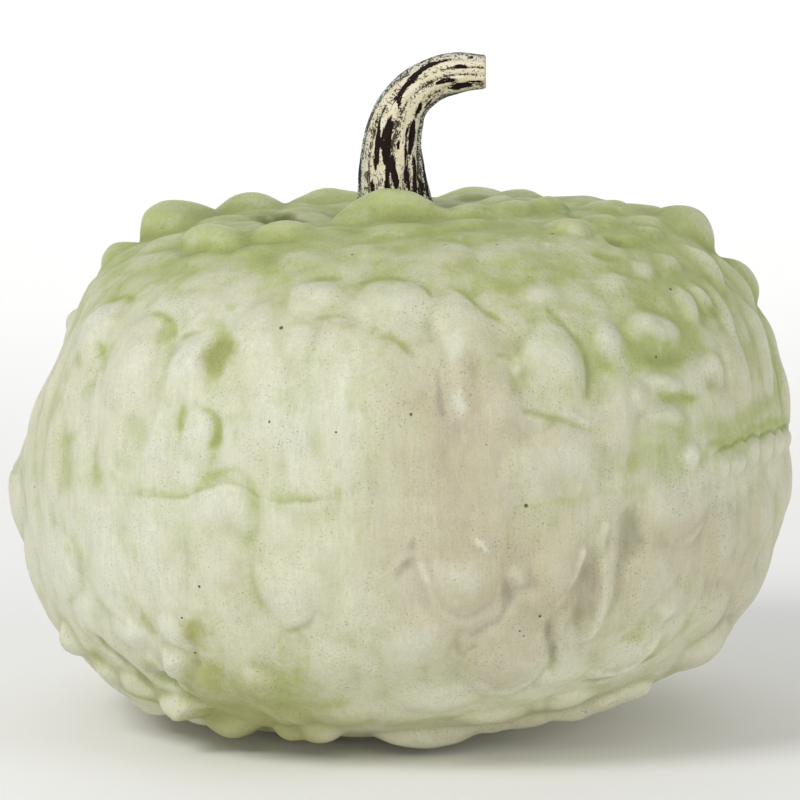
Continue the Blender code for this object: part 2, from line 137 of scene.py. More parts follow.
# Knobs and lobes: longitude, latitude, half width, half height, rise. Where they differ from 0, 1, 0 and 0,
# the tilt, edge power, skew and fade follow.
KNOBS = (
    # crown and rim (rear and sides)
    (2, 71, 23, 17, 13.5), (-114, 48, 23, 17, 15.5, 0, 0.95), (-100, 39.5, 14, 9, 6, 0, 1.1),
    (-126, 58, 14, 12, 2, 0, 1.1), (-134, 53, 17, 16, 11.5), (-161, 56, 23, 16, 8.8),
    (-74, 48, 14, 12, 3, 0, 1.1), (-51, 50, 20, 13, 9.5), (-33, 55, 14, 10, 6.5),
    (-88, 55, 14, 12, 1.5, 0, 1.2), (170, 50, 14, 14, 4, 0, 1.1), (154, 50, 15, 14, 7.5, 0, 1.1),
    (140, 50, 14, 14, 6, 0, 1.1), (124, 47, 22, 14, 4.5, 0, 1.1), (108, 41, 16, 14, 1.5, 0, 1.1),
    (91, 36.5, 20, 14, 8.4, 0, 0.8), (91, 25.4, 13, 10, 6.8, 0, 0.7), (96, 17, 16, 18, 3.5, 0, 1.1),
    # crown slope in front of the stem
    (-14, 65, 14, 9, 4, 0, 1.2), (22, 66, 14, 9, 3.5, 0, 1.3), (38, 63, 15, 9, 5, 0, 1.2),
    (56, 60, 17, 10, 5, 0, 1.1), (75, 58, 16, 11, 5.5, 0, 1.1), (88, 48, 13, 11, 4, 0, 1.2),
    (48, 45.5, 8, 9, 6, 0, 0.9), (58, 47, 8, 7, 2, 0, 1.2), (66, 46, 8, 8, 4, 0, 1.1),
    (60, 40, 6, 6, 3, 0, 1.1), (69, 40, 6, 6, 3, 0, 1.1), (77, 42, 7, 7, 3, 0, 1.1),
    (83, 38, 8, 9, 3, 0, 1.1), (5, 55, 18, 10, 3, 0, 1.4), (25, 55, 15, 9, 3, 0, 1.3),
    (-20, 54, 13, 9, 2, 0, 1.1), (12, 43, 14, 11, 2.5, 0, 1.3, 0.3), (26, 41, 15, 11, 2, 0, 1.4),
    (-4, 45, 13, 10, 2.2, 0, 1.3),
    # upper left
    (-82, 35, 14, 10, 1.6, 0, 1.1), (-72, 34, 10, 9, 2, 0, 1.1), (-88, 26, 14, 12, 1.4, 0, 1.2),
    (-61, 42, 16, 11, 2, 0, 1.2), (-44, 43, 14, 10, 1.5, 0, 1.2), (-31, 47, 12, 9, 1.5, 0, 1.1),
    (-37, 38, 12, 9, 1.5, 0, 1.1), (-19, 43, 12, 10, 1.6, 0, 1.1),
    (-55.5, 26.5, 14, 15, 4.5, 0, 1, 0.1, 1), (-43, 20, 14, 25, 4.5, 0, 1, 0.1, 1),
    (-44, 10, 12, 22, 2, 0, 1.4, 0.2), (-31.5, 21.5, 8.5, 15, 4, 0, 1, 0.1, 1),
    (-22, 28, 8, 13, 2.2, 0, 1.3), (-28.8, 12, 7, 12.5, 3.2, 0, 0.9, 0.1, 1),
    (-36, 11, 6, 18, 1.8, 10, 1.2, 0.3, 0.7), (-66, 17, 9, 22, 2.8, 14, 1.2, 0.2, 0.7),
    (-75, 13, 9, 24, 3, 14, 1.2, 0.2, 0.7), (-60, 9, 8, 20, 2, 10, 1.3), (-52, 8, 8, 16, 1.6, 8, 1.3),
    (-85, 12, 12, 18, 1.5, 0, 1.2),
    # upper middle
    (-2.5, 13, 23, 31, 4.2, 0, 0.9, 0.1, 0.7), (1.5, 31, 17, 13, 4, 0, 0.9, 0.05, 1),
    (-12.8, 32.5, 10, 11, 3.4, 0, 1, 0, 1), (-14, 25, 6, 10, 2.2, 0, 1.1, 0, 1),
    (-17.5, 16, 9, 22, 1.8, 0, 1.3, 0, 0.7), (-7, 26, 10, 9, 2, 0, 1.2, 0, 1),
    (11.7, 26, 10, 20, 3.6, 0, 1, 0, 1), (9.8, 19, 5, 19, 2.6, 2, 1.1),
    (14, 14, 10, 19, 3.2, 0, 1, 0.1, 1), (21.5, 21.5, 4.5, 8, 2.6, 0, 1.1),
    (18.8, 20, 3.5, 4, 1.6, 0, 1.1), (24.5, 19, 12, 20, 3.8, 0, 1, 0.2, 1),
    (22, 5.5, 19, 17, 3.4, 0, 0.85, 0.2, 1), (34.5, 22.5, 8, 11, 3, 0, 1.1, 0, 1),
    (33.5, 12, 7, 20, 2.2, 0, 1.2, 0.2), (26, 31, 9, 7, 2.4, 0, 1.2),
    # upper right
    (44, 22.5, 14, 8.5, 5, 5, 0.9, 0, 1), (42, 30.5, 11, 8, 3.2, 0, 1, 0, 1),
    (42.5, 14.6, 9.5, 4.5, 3, 8, 0.9, 0, 0.7), (42, 10, 9, 5, 2.8, 10, 0.9, 0.1, 1),
    (36.5, 14, 4, 5, 1.8, 0, 1.1), (45.5, 4.2, 6.5, 5, 3.4, 0, 0.9), (54, 15.5, 7, 7, 2.8, 0, 1.1),
    (54, 26, 5, 10, 3, 25), (59.5, 26.5, 7, 6, 3), (51, 33, 6, 5, 2.5, 0, 1.1),
    (47, 30.5, 4, 4, 1.8, 0, 1.1), (60, 33, 8, 6, 3, 0, 1.1), (61, 14, 11, 18, 3.2, 0, 1, 0, 1),
    (64, 23, 5, 16, 3, 12), (71, 31, 7, 13, 4, 10), (74, 17, 7, 24, 3.2, 10, 1.1),
    (82, 26, 9, 16, 3.5, 8, 1.1), (84, 10, 10, 18, 3, 4, 1.2), (90, 17, 18, 15, 3, 0, 1.2),
    (88, -5, 22, 16, 2.8, 0, 1.1),
    # seam
    (-25.5, 1.5, 13, 11, 3.6, 0, 1, 0.1, 1), (-88, -0.5, 30, 15, 4.4, 0, 1.2), (54, 2.2, 5, 4, 2),
    (58.5, 2, 6, 4, 2.2), (63.5, 2.2, 6, 4, 2.2), (69, 2, 7, 4.5, 2.4), (75.5, 2.2, 7, 4.5, 2.4),
    (82, 2, 8, 4.5, 2.4),
    # lower left
    (-61, -7, 14, 16, 2.2, 0, 1.3, 0.3), (-47, -7, 12, 20, 1.6, 0, 1.4), (-36, -6, 11, 18, 1.8, 0, 1.3),
    (-25, -7, 11, 17, 2, 0, 1.2, 0, -0.7), (-16, -8, 12, 16, 3, 0, 1, 0, -1),
    (-75, -10, 12, 18, 1.6, 0, 1.2), (-36.5, -15.5, 8, 9, 2.8, 0, 1.1), (-46, -16, 9, 9, 2.4, 0, 1.2),
    (-38.5, -22, 8, 9, 3.8), (-56, -15, 10, 12, 2.2, 0, 1.3), (-67, -20.5, 8.5, 8, 5.2, 0, 0.9),
    (-61, -25.5, 8, 7, 4, 0, 0.9), (-54, -28, 10, 8.5, 4.4, 0, 0.9), (-46, -32, 11, 9, 6.8, 0, 0.9),
    (-64, -36, 11, 9, 3), (-52, -40, 10, 8, 3), (-41, -38.5, 12, 9.5, 7, 0, 0.9),
    (-27.5, -41, 8, 8, 5.5, 0, 0.9), (-21, -41, 9.5, 10, 6, 0, 0.9), (-33.5, -26, 10, 13, 3.6),
    (-24, -25, 10, 13, 3.2, 0, 1.1), (-24, -34, 10, 9, 2), (-13, -34, 11, 9, 2, 0, 1.1),
    (-12, -21, 12, 12, 1.6, 0, 1.4),
    # lower right
    (8.2, -7.5, 12.5, 17, 3.6, 5, 0.75, -0.15, -1), (16, -8.7, 5, 5.5, 2.4), (18.5, -12.5, 6, 5, 2),
    (10.6, -3.2, 2.5, 6, 1.8, -20), (21.5, -7.5, 8.5, 16, 3.2, 6, 0.9, 0.2, -1),
    (22.8, -17.5, 3, 9, 2.4, 5), (30, -12, 4.5, 18, 2.8, 5), (15, -21.5, 17, 16, 3.4, 0, 1, 0, -1),
    (2.5, -17, 12, 13, 1.8, 0, 1.3), (42, -1.5, 20, 15, 4, 0, 0.85, 0.1, -1),
    (38, -12, 12, 12, 2.4, 0, 1.2), (43, -16.5, 8, 7, 2.6, -20, 1, -0.2, -0.7),
    (37, -22, 17, 14, 3.4, 0, 0.95, 0, -1), (25.5, -26, 9, 9, 2.6, 0, 1, 0, -0.7),
    (4, -28.5, 17, 13, 3.2, 0, 1, 0, -1), (4, -47, 22, 11, 7.5), (29, -44, 13, 10, 4),
    (17, -38, 14, 9, 3.2, 0, 1.2), (19, -45, 10, 8, 3.6, 0, 1.1), (31, -35, 13, 9, 3, 0, 1.1),
    (40, -43, 12, 9, 5.5), (45, -40, 13, 9, 5), (50, -38, 13, 10, 5.5), (61, -28, 17, 14, 6.6),
    (76, -30, 11, 10, 2), (53, -9, 12, 14, 2.8, 0, 1.1), (54, -20, 13, 12, 3, 0, 1.1),
    (66, -7, 11, 15, 3, 0, 1.1), (66, -19, 11, 10, 3, 0, 1.1), (79, -8, 11, 14, 2.2, 0, 1.1),
    (88, -19, 11, 14, 0.4, 0, 1.1),
)
DENTS = (
    (27, -13, 6, 18, 1, 5), (86, -15, 14, 7, 2.4), (56, 40, 7, 6, 2.2), (34.5, -4, 9, 17, 2.2, 12),
    (14.5, -12, 4, 6, 1.2, 0, 1.3), (21.5, -19.5, 3.5, 10, 1.4, -20, 1.2),
    (-26.3, 24, 5, 10, 1.2, 0, 1.2), (-44, -25, 8, 6, 2, 0, 1.2), (45, 18.5, 12, 4, 1.2, 0, 1.2),
    (-92, 66, 18, 11, 6.5), (-62, 66, 14, 9, 5.5), (-55, 70, 12, 8, 4),
)

# Narrow ridges and creases: half width, height, then points of longitude and latitude.
RIDGES = (
    (1.6, 1.3, 2.5, -4, 3.2, -9, 4.5, -12.5, 6.5, -14.8, 9, -15, 12, -13.5),
    (1.1, 0.9, 10, -2.5, 10.5, -4, 11.2, -5.5),
    (1.4, 1.4, 25.5, -5.5, 24.5, -8.5, 23.5, -12, 21.5, -14, 19.5, -14.5),
    (1.6, 1.5, 30, -2, 28.5, -6, 29, -10, 29.3, -15, 28.5, -19, 26.5, -20),
    (1.2, 1.1, 43, -7.6, 46, -7.4, 48.7, -5.5),
    (2.2, 1.4, 30.5, -26.5, 33, -28, 37, -28, 40, -26, 41.5, -22),
    (2, 1.2, 10.5, -25, 13, -28, 17, -29, 20, -26.5, 20.8, -23), (1.6, 0.9, 41, -19.5, 43, -16),
    (1.6, 0.8, -2, -7, 2, -4), (1.5, 1, -42.5, -25, -40, -21.5, -37, -20),
    (2, 1.4, -47, -33, -42, -30.5, -38, -31.5), (1.6, 0.9, -19, -12.5, -17, -13.8, -14, -12.5),
    (1.2, 0.9, 24, 13.5, 27, 13, 29, 11.4), (1.2, 0.8, 61, 27, 62.5, 21, 64.5, 16),
    (1.2, 0.7, 52, 26, 54.5, 28), (1.3, 0.7, -4.5, 23, -4.6, 14, -4.4, 4),
    (1.3, 0.6, -34.5, 18, -35.5, 14, -38, 9), (1.3, 0.6, -49, 21, -48.5, 13, -50, 7),
    (1.4, 0.7, 70, 36, 72, 28, 76, 20, 78, 10),
)
CREASES = (
    (1.6, 1.3, 13.5, -8.5, 14.5, -12, 13, -15.5, 9, -16.6),
    (3.2, 0.7, 26.8, -6.5, 25.8, -10, 25.6, -14, 26.2, -18.5),
    (7, 0.6, 35, -0.5, 33, -5, 31.8, -8, 31.6, -13),
    (1.7, 1.3, 20.8, -15, 21.5, -19, 22.5, -22, 23.5, -25.5), (1.2, 1, 20.6, -26, 22, -29.5),
    (1.3, 1, 30.5, -29, 35, -29.6, 40, -28, 45, -26), (1.8, 0.8, 2, -2, 1, -6, -1, -8.5),
    (1.2, 0.7, 6.5, -17, 8.5, -20, 11, -18), (2, 1.6, 26, -32, 28.5, -38),
    (0.9, 0.9, 6.6, 21, 6.6, 17, 6.4, 13.5), (0.8, 1, 29.6, 21, 29.3, 18, 29.2, 15),
    (1.4, 0.6, 30.5, 10, 30.5, 5.5), (0.9, 0.8, -5, 35.9, 1, 36.2, 5, 35.5, 7.2, 33.6, 7.9, 31.5),
    (0.9, 0.8, 10.5, 35.2, 12.7, 33.6, 14.2, 31, 15.6, 29, 18.5, 25.6),
    (1, 0.6, -2, 26, 1, 25.4, 4, 22.8), (0.8, 0.7, 15.5, 22.4, 17.2, 21.9, 18.2, 20.3),
    (0.9, 0.7, 26, 28.2, 27.8, 25.6, 29.4, 22.3), (0.9, 0.6, 17.5, 14.2, 21, 13.8, 25, 12, 28.5, 10.2),
    (1, 0.9, -57, 32.8, -54, 33.4, -51, 32.7, -49.5, 31.8),
    (1, 0.8, -44, 30.5, -40, 30.3, -37.3, 28.8, -35.6, 26.8),
    (0.8, 0.5, -34.5, 26.5, -31.5, 27.9, -29, 28.2),
    (0.9, 0.8, -30, 17.4, -27.5, 17.2, -25.7, 15.6, -25.4, 13.2, -26.4, 10.8),
    (1, 0.6, -31.6, 17, -31.6, 13.5), (1.2, 0.7, -51.5, 25.8, -49.6, 23.6),
    (0.9, 0.8, -19.5, -13.6, -17, -14.9, -14, -13.9, -12, -11.2), (1.1, 0.7, -48, -13.5, -45, -14.8),
    (2.2, 1.3, -55, -18, -50.5, -23.5, -48.5, -28), (1.8, 1, -43.5, -24, -41, -28, -39, -30.5),
    (1.4, 0.8, -32, -13, -33.5, -18, -34.5, -22), (1.4, 0.8, -41.5, -11.5, -41, -16),
    (1.4, 0.9, -24.3, -31, -24, -38), (1, 0.6, 57, 26.2, 60, 24.6, 62, 22.4),
    (1.6, 0.9, -16, 35.2, -12, 37.3, -8, 37.4), (2, 0.9, 43.5, 38, 47, 35.5),
    (1, 0.7, -12, 29.5, -8, 29.4, -4, 27.6),
)

# Brush strokes of colour: half width, strength, then points of longitude and latitude.
# The two wide strokes on the upper left, from longitude -57 and -44 at latitude 30 to 33, are painted shade
# beside the lobes, in green.
GREEN_STROKES = (
    (0.9, 0.7, -5, 35.6, 1, 35.9, 5, 35.3, 7, 33.5, 7.7, 32),
    (0.9, 0.65, 10.5, 35, 12.5, 33.5, 14, 31, 15, 29.5), (1.1, 0.75, 15.5, 28.8, 17, 27.8, 18.4, 25.6),
    (0.8, 0.55, 15.5, 22, 17, 21.8, 18, 20.5), (1.3, 0.4, 26, 28, 27.5, 25.5, 29, 22.5, 29.7, 21.5),
    (0.9, 0.5, 17.5, 14, 21, 13.5, 25, 12.3, 28, 10.9, 29, 9.6),
    (3.8, 0.75, 38, 18.6, 44, 18.8, 49, 18.2), (1.8, 0.7, 40, 13.5, 44, 12.8, 48, 11.8),
    (1.8, 0.5, 36.5, 20, 37, 17), (2.4, 0.6, 50, 4.8, 56, 5.6, 62, 5.7, 70, 5.2, 80, 5),
    (1.8, 0.9, 54.5, 5.2, 55.6, 5.3), (1.5, 0.8, 61.5, 5.4, 62.5, 5.4), (2, 1, 77, 4.4, 79.5, 4.4),
    (3, 0.45, 47, 3.2, 51, 3.6), (4.5, 0.4, 48, 7.5, 56, 8, 66, 8, 80, 10), (4, 0.5, 43, 38.5, 48, 35),
    (4.5, 0.9, 53, 40, 58, 40.5), (4, 0.6, 55, 38, 60, 40, 68, 42),
    (1.2, 0.5, 57, 26, 60, 24.5, 62, 22.5), (2.2, 0.62, -57, 32.5, -54, 33.2, -51, 32.4, -49.5, 31.6),
    (2.6, 0.6, -44, 30.2, -40, 29.9, -37.5, 28.5, -36, 27), (4.6, 0.5, -38.5, 28.6, -36, 26),
    (0.9, 0.35, -34, 26.5, -31, 27.8, -29, 28), (5, 0.4, -28, 29, -26, 25.5, -25.6, 21.5),
    (3, 0.5, -26.4, 23, -27, 18), (2.4, 0.4, -28, 31.5, -26.5, 32.5),
    (7, 0.75, -30, 50, -27, 45, -24.5, 41, -23, 38), (5, 0.7, -40, 50, -34, 48, -29, 45),
    (1.8, 0.6, -28.5, 17.2, -26.5, 16.5, -25.5, 14.5, -25.8, 12, -27, 10.5),
    (2.2, 0.4, -31.5, 17.5, -31.5, 13), (3.2, 0.5, -52, 26.5, -49.5, 23),
    (3.4, 0.25, -57.5, 23.5, -55, 20.5), (2.4, 0.35, -54, 17.5, -50, 19), (3, 0.3, -57, 10, -52, 12),
    (4.5, 0.22, -58, 7, -50, 8.5), (5, 0.2, -78, 5, -60, 5.5, -46, 6),
    (1.4, 0.28, -40, 4.6, -36, 4.4, -31, 4.5),
    (1.7, 0.4, -29, 6, -25.5, 7.2, -23, 7.6, -21.5, 6.4, -20.3, 4),
    (3.4, 0.25, -21, 5, -20.5, 0, -23, -5), (1.8, 0.3, -17.5, 4.4, -11, 4),
    (1.6, 0.55, -8, 6.2, -7.8, 3.2), (2.8, 0.35, -21, 38.5, -18.5, 36, -16, 35),
    (2, 0.6, -66, 47, -58, 46, -52, 44.5), (3, 0.35, -1, -1, -1, -1.2),
    (1, 0.35, -16, -14, -14.5, -18, -16, -24), (1.6, 0.22, 10, 2, 20, 1.6, 34, 1.2, 48, 1.4),
    (3, 0.3, 44, -11, 47, -16), (1.2, 0.45, 54, -14, 53.5, -18),
)
OLIVE_STROKES = (
    (1.4, 0.6, -2, 25.8, 1, 25, 3.5, 23), (1, 0.5, 17, 18.5, 17.2, 16), (4, 0.45, -8, 27.5, -4.5, 26.5),
    (2, 0.4, -1, 26.2, 2.5, 24.6, 4.5, 22), (2, 0.5, -8.5, 37, -8.2, 35.5),
    (4.6, 0.35, -27.5, 28, -26, 24.5, -25.8, 20.5), (6, 0.3, -42, -1, -41.5, -8),
    (4.6, 0.65, -42, -12, -41, -17), (6, 0.3, -34.5, 0, -33, -7), (8, 0.3, -24, -3, -22, -7, -27, -11),
    (6, 0.75, -31, -13, -32.5, -16, -33.5, -19), (4, 0.6, -44, -21, -45, -23.5),
    (9, 0.7, -32, -20, -33, -26, -34, -30), (5, 0.5, -22, -19, -23, -22), (6, 0.55, -23, -28, -22, -34),
    (2.2, 0.6, -31, -23, -31, -28), (8, 1, -47, -33, -40, -37, -32, -41), (7, 0.8, -42, -34, -31, -31),
    (8, 1, -29, -31, -26, -38, -21, -45), (7, 0.6, -23, -22, -26, -29), (3, 0.3, -22, -16, -28, -14),
    (4, 0.8, -64, -23, -57, -22), (5, 0.8, -58, -28, -50, -31), (9, 0.35, -14, -35, -4, -37, 8, -38),
    (8, 0.3, 12, -38, 26, -38, 40, -36), (3, 0.4, 33, -19, 40, -21),
    (2.2, 0.45, 26, -8, 25.6, -13, 26.4, -18), (3, 0.35, 6, -8, 8, -12),
    (4, 0.4, 60, 30, 64, 28, 70, 30), (2.6, 0.5, 50, 13, 54.5, 12.6),
)
# Pale strokes are partly white paint and partly painted highlights on the tops and edges of knobs and
# crests.
PALE_PAINT_AND_HIGHLIGHT_STROKES = (
    (6.5, 0.6, -2.5, 32.8, 2, 32.8, 5, 31.6), (3.2, 0.95, 11.5, 26, 9.8, 24, 9.2, 21),
    (3, 0.95, 9.3, 18, 9, 14), (2, 0.95, 22, 24, 21.8, 19.5), (1.8, 0.85, 18.3, 20, 18.8, 19),
    (2.2, 0.5, 27, 23, 27, 21), (2.4, 0.7, 34.5, 24.5, 34.8, 23.5), (1.5, 0.6, 35.3, 19.5, 35.5, 16),
    (2.6, 1, 41.5, 24, 45, 23.2, 48, 22), (1.5, 0.6, 37.8, 21, 39, 19.8),
    (1.6, 0.95, 40.5, 15.5, 44, 15, 46, 14), (1.6, 0.7, 37.5, 14.5, 38.5, 13),
    (1.5, 0.85, 42, 12, 45, 10.5), (3.2, 0.95, 43.8, 4.8, 46.8, 4.2),
    (1.2, 0.85, 24, 13.5, 27, 13, 29, 11.5), (2.5, 0.5, 31, 4.5, 32, 4.5), (1.2, 0.8, 52, 26, 54.5, 28),
    (2.2, 0.8, 57.5, 28, 59, 26.5), (1.5, 0.6, 57, 19.5, 60, 21.5),
    (1.3, 0.75, 61, 26, 62.2, 21, 64, 17), (2.4, 0.65, 53, 17, 55.5, 16), (2.2, 0.9, 36, 41, 40, 43.5),
    (1.6, 0.9, 53, 43, 51.5, 46), (1, 0.8, 41.5, 38.5, 45, 42), (1.6, 0.6, 37.2, 35.5, 38, 35.5),
    (1.5, 0.85, 49.5, 33.2, 51.5, 33.8), (0.9, 0.7, 54, 36, 56.5, 37.2),
    (1.1, 0.75, 59, 32.5, 62, 33.5), (1.3, 0.6, 47.5, 31.2, 48.5, 31.4), (3, 0.6, 24.5, 31, 28, 30),
    (2, 0.7, 42, 29, 43.6, 28.4), (1.4, 0.5, 5, 36.7, 5.5, 36.7), (5, 0.5, -54, 53, -46, 53),
    (5, 0.7, -57, 29, -52, 27.5), (9, 0.45, -45, 27, -44, 19), (6, 0.65, -32.5, 25, -32, 20),
    (6, 0.7, -45.5, 33.6, -41, 32.6), (3.6, 0.75, -34.5, 30.5, -31, 29.5),
    (3, 0.6, -30.5, 37, -28, 33.5), (7, 0.45, -14, 33, -9, 32.5), (3.6, 0.5, -15, 27.5, -13.4, 26),
    (4.6, 0.8, -7, 23, -6.4, 14, -6.2, 6), (12, 0.5, -12, 20, -14, 10), (10, 0.5, -30, 8, -24, 3),
    (5, 0.5, -30.5, 14, -29.5, 11), (2, 0.7, -4.5, 45, -4.2, 41.5), (5, 0.85, -37.5, -13, -37.2, -18),
    (6, 0.6, -45, -13, -44.5, -18), (3.6, 0.85, -37.2, -20.5, -39.5, -22.5, -41, -25),
    (2.6, 0.6, -46, -31.5, -41, -30.4, -38, -32), (5.5, 0.5, -18.5, -9.5, -17.4, -13),
    (1.5, 0.85, 2.5, -5, 3.4, -9, 4.5, -12.3, 6.5, -14.6), (1.2, 0.6, 7, -14.8, 9, -15, 12, -13.4),
    (1, 0.85, 10, -2.5, 11.2, -5.5),
    (1.1, 0.75, 25.5, -5.5, 24.5, -8.5, 23.5, -12, 21.5, -14, 20, -14.5),
    (1.4, 0.6, 29.8, -3, 28.5, -6, 29, -10, 29.3, -15, 28.5, -19),
    (1, 0.9, 44, -7.4, 47, -7.1, 48.8, -5.5), (2, 0.5, 32, -27, 37, -27.2, 40, -25),
    (1.6, 0.6, 41, -19, 43, -16.3), (2.6, 0.7, 15, -9, 17, -10.2), (1.6, 0.5, -2, -7, 2, -4.2),
    (7, 0.5, -75, -4, -60, -3, -50, -2), (7, 0.5, -70, -14, -56, -12),
)
# Grey strokes are painted shade: in creases and recesses, in the shadowed valley left of the stem and on the
# shaded flank of the knob beside it.
SHADE_GREY_STROKES = (
    (6, 0.9, -50, 66, -80, 69, -110, 68), (4, 0.7, -150, 57, -128, 62, -118, 63),
    (1.6, 0.6, 6.6, 20.5, 6.5, 14), (1, 0.75, 29.5, 20.5, 29, 15.5), (1.8, 0.4, 30.5, 9.5, 30.5, 5.5),
    (1.2, 0.4, -1, 29.4, 4, 28), (2.6, 0.5, 13.5, -8.5, 14.5, -12, 13, -15, 10, -16.2),
    (2, 0.45, 26.5, -6, 25.5, -10), (6, 0.35, 36, 0.5, 33.5, -4, 32.5, -10),
    (1.9, 0.65, 20.8, -16, 21.5, -19, 22.5, -22, 23.6, -24), (1, 0.6, 20.5, -26.5, 22, -29),
    (1.5, 0.5, 30.5, -28.8, 35, -29.2, 40, -27.6, 45, -26), (2.2, 0.45, 2, -2, 1, -6, -1, -8),
    (1.8, 0.35, 33, -5.4, 38, -7, 43, -8.8), (1.3, 0.4, 6.5, -17, 8.5, -20, 11, -18),
    (2, 0.7, 26, -33, 28, -37), (1, 0.35, 50, -18.5, 56, -20.5), (2, 0.4, 58, -1, 59, -4),
    (1.3, 0.55, -19, -13.4, -17, -14.7, -14, -13.7, -12, -11), (1, 0.35, -38, -3, -35, -5.5, -33.5, -7),
    (1, 0.4, -48, -13.5, -45, -14.8), (3.4, 0.4, -57, -5, -53, -9, -50, -13, -46, -16),
    (3.4, 0.65, -55, -18, -50.5, -24, -48, -28), (2.2, 0.6, -43, -24, -41, -28, -39, -30),
    (4, 0.7, -47, -22.5, -44, -24), (1.4, 0.8, -18.4, -26.3, -17.6, -28),
    (1.2, 0.35, -13, 30, -8, 29.6), (3, 0.3, -3, -14, -6, -20),
    (1.4, 0.4, -54, 45.5, -47, 42.5, -38, 40.5),
)
# Dark strokes. The two wide ones are painted shadow in the valley left of the stem. The thin ones are cracks
# and pits in the glaze. The rest darken short spots along the seam's teeth and on the crown's right slope.
CRACK_AND_SHADOW_STROKES = (
    (5, 0.95, -115, 64, -95, 69, -60, 70, -38, 68), (5, 0.6, -124, 60, -108, 63, -90, 64),
    (1.5, 0.5, 54.5, 5, 55.8, 5.1), (1.2, 0.45, 61.6, 5.2, 62.6, 5.2), (1.7, 0.6, 77, 4.2, 79.5, 4.2),
    (3, 0.35, 54, 39.6, 58, 40.4), (2, 0.45, 77, 54, 68, 52, 62, 50),
    (0.6, 0.7, -42.5, -19.6, -40.2, -17.6), (0.5, 0.7, -41.8, -20.6, -39, -18.6, -39.6, -17.6),
    (0.5, 0.6, -48.2, 35.6, -47, 33.6), (0.5, 0.5, -49, 7, -47.4, 9),
    (0.5, 0.7, 30, 27.4, 31.5, 27.7, 33.8, 27.5), (0.5, 0.5, 22.5, 28.4, 24.5, 28.2, 25.5, 27.9),
    (0.5, 0.8, 61, 18.4, 62, 18.6, 63, 17.8), (0.6, 0.7, -16.2, 34.9, -15.2, 35.2),
    (0.5, 0.6, 5.8, 47, 6.6, 46.2),
)

# Wide patches of colour: longitude, latitude, half width, half height, strength.
# The full-strength green patch at longitude -72, latitude 67 is painted shadow in the valley left of the
# stem.
GREEN_PATCHES = (
    (64, 7, 24, 10, 0.35), (80, 16, 22, 22, 0.4), (60, 34, 34, 22, 0.25), (74, 28, 14, 18, 0.3),
    (44, 20, 22, 14, 0.35), (30, 36, 36, 12, 0.25), (-74, 32, 26, 24, 0.45), (-55, 40, 30, 22, 0.4),
    (-84, 8, 26, 16, 0.2), (-62, 14, 20, 26, 0.12), (28, 4, 36, 10, 0.2), (140, 10, 60, 50, 0.25),
    (-140, 6, 50, 44, 0.3), (180, -20, 50, 30, 0.2), (34, 24, 60, 28, 0.4), (62, 26, 36, 30, 0.3),
    (40, 6, 30, 16, 0.45), (16, 36, 60, 14, 0.25), (87, 27, 24, 26, 0.75), (-100, 40, 50, 26, 0.6),
    (-72, 67, 34, 20, 1), (92, 40, 28, 20, 0.7), (-22, -28, 28, 26, 0.4), (66, 40, 36, 22, 0.5),
    (56, 32, 30, 22, 0.3), (50, 56, 50, 20, 0.4),
)
# The full-strength olive patch at longitude -75, latitude 68 is painted shadow in the valley left of the
# stem.
OLIVE_PATCHES = (
    (-25, -26, 32, 26, 0.4), (-26, -37, 34, 16, 0.5), (14, -41, 56, 14, 0.4), (-42, -37, 14, 10, 0.6),
    (-34, -27, 24, 20, 0.4), (-30, -36, 40, 20, 0.6), (-38, -40, 30, 24, 0.5), (-8, -38, 40, 16, 0.3),
    (34, -38, 40, 14, 0.2), (-56, -24, 18, 14, 0.25), (120, -30, 50, 24, 0.3),
    (-120, -34, 50, 24, 0.35), (170, -38, 60, 20, 0.35), (-75, 68, 28, 18, 1), (20, 34, 60, 20, 0.25),
    (26.8, 25, 9, 12, 0.3), (-26.8, 24.5, 9, 11, 0.45),
)
BEIGE_PATCHES = (
    (7, 2, 26, 66, 0.65), (12, 12, 30, 40, 0.55), (30, 8, 28, 30, 0.5), (20, -12, 42, 34, 0.75),
    (44, -8, 34, 30, 0.65), (48, 45.5, 8, 10, 0.9), (30, 26, 12, 12, 0.35), (17, 25, 9, 10, 0.4),
    (14, -24, 18, 12, 0.4), (62, -16, 40, 40, 0.55), (58, 16, 18, 20, 0.3), (-10, 25, 14, 8, 0.3),
    (-44, 20, 10, 20, 0.25), (14, 43, 14, 12, 0.3), (-12, 44, 12, 10, 0.3), (53, 12.5, 8, 6, 0.4),
    (-24, -5, 18, 16, 0.25), (150, -4, 60, 40, 0.35), (-110, -8, 40, 40, 0.3), (16, -42, 60, 12, 0.45),
    (-1, -4, 16, 34, 0.45),
)
PALE_PATCHES = (
    (-70, 2, 40, 36, 0.5), (-30, 10, 60, 44, 0.55), (-50, -6, 44, 26, 0.6), (-12, 16, 20, 34, 0.5),
    (-60, -14, 34, 26, 0.4), (-40, 43, 44, 14, 0.45), (-14, 46, 20, 12, 0.3), (62, -2, 20, 14, 0.3),
    (-160, 20, 40, 30, 0.3), (120, 0, 30, 30, 0.3),
)

# Pinholes in the glaze: longitude, latitude, radius.
PINHOLES = (
    (-17, 28, 0.7), (-17.5, 14.5, 0.4), (17.8, 1, 0.65), (-30.2, -8.5, 0.5), (-34, -13.2, 0.4),
    (19.6, -15.1, 0.5), (16.6, -17, 0.35), (42.5, 45.3, 0.5), (53, 28.5, 0.55), (13.5, 44.7, 0.5),
    (-8, 12.8, 0.35), (-7, 43.3, 0.4), (42.5, 19, 0.4), (2.4, 14.6, 0.5), (-33.8, -19, 0.4),
    (25, 43.5, 0.5),
)

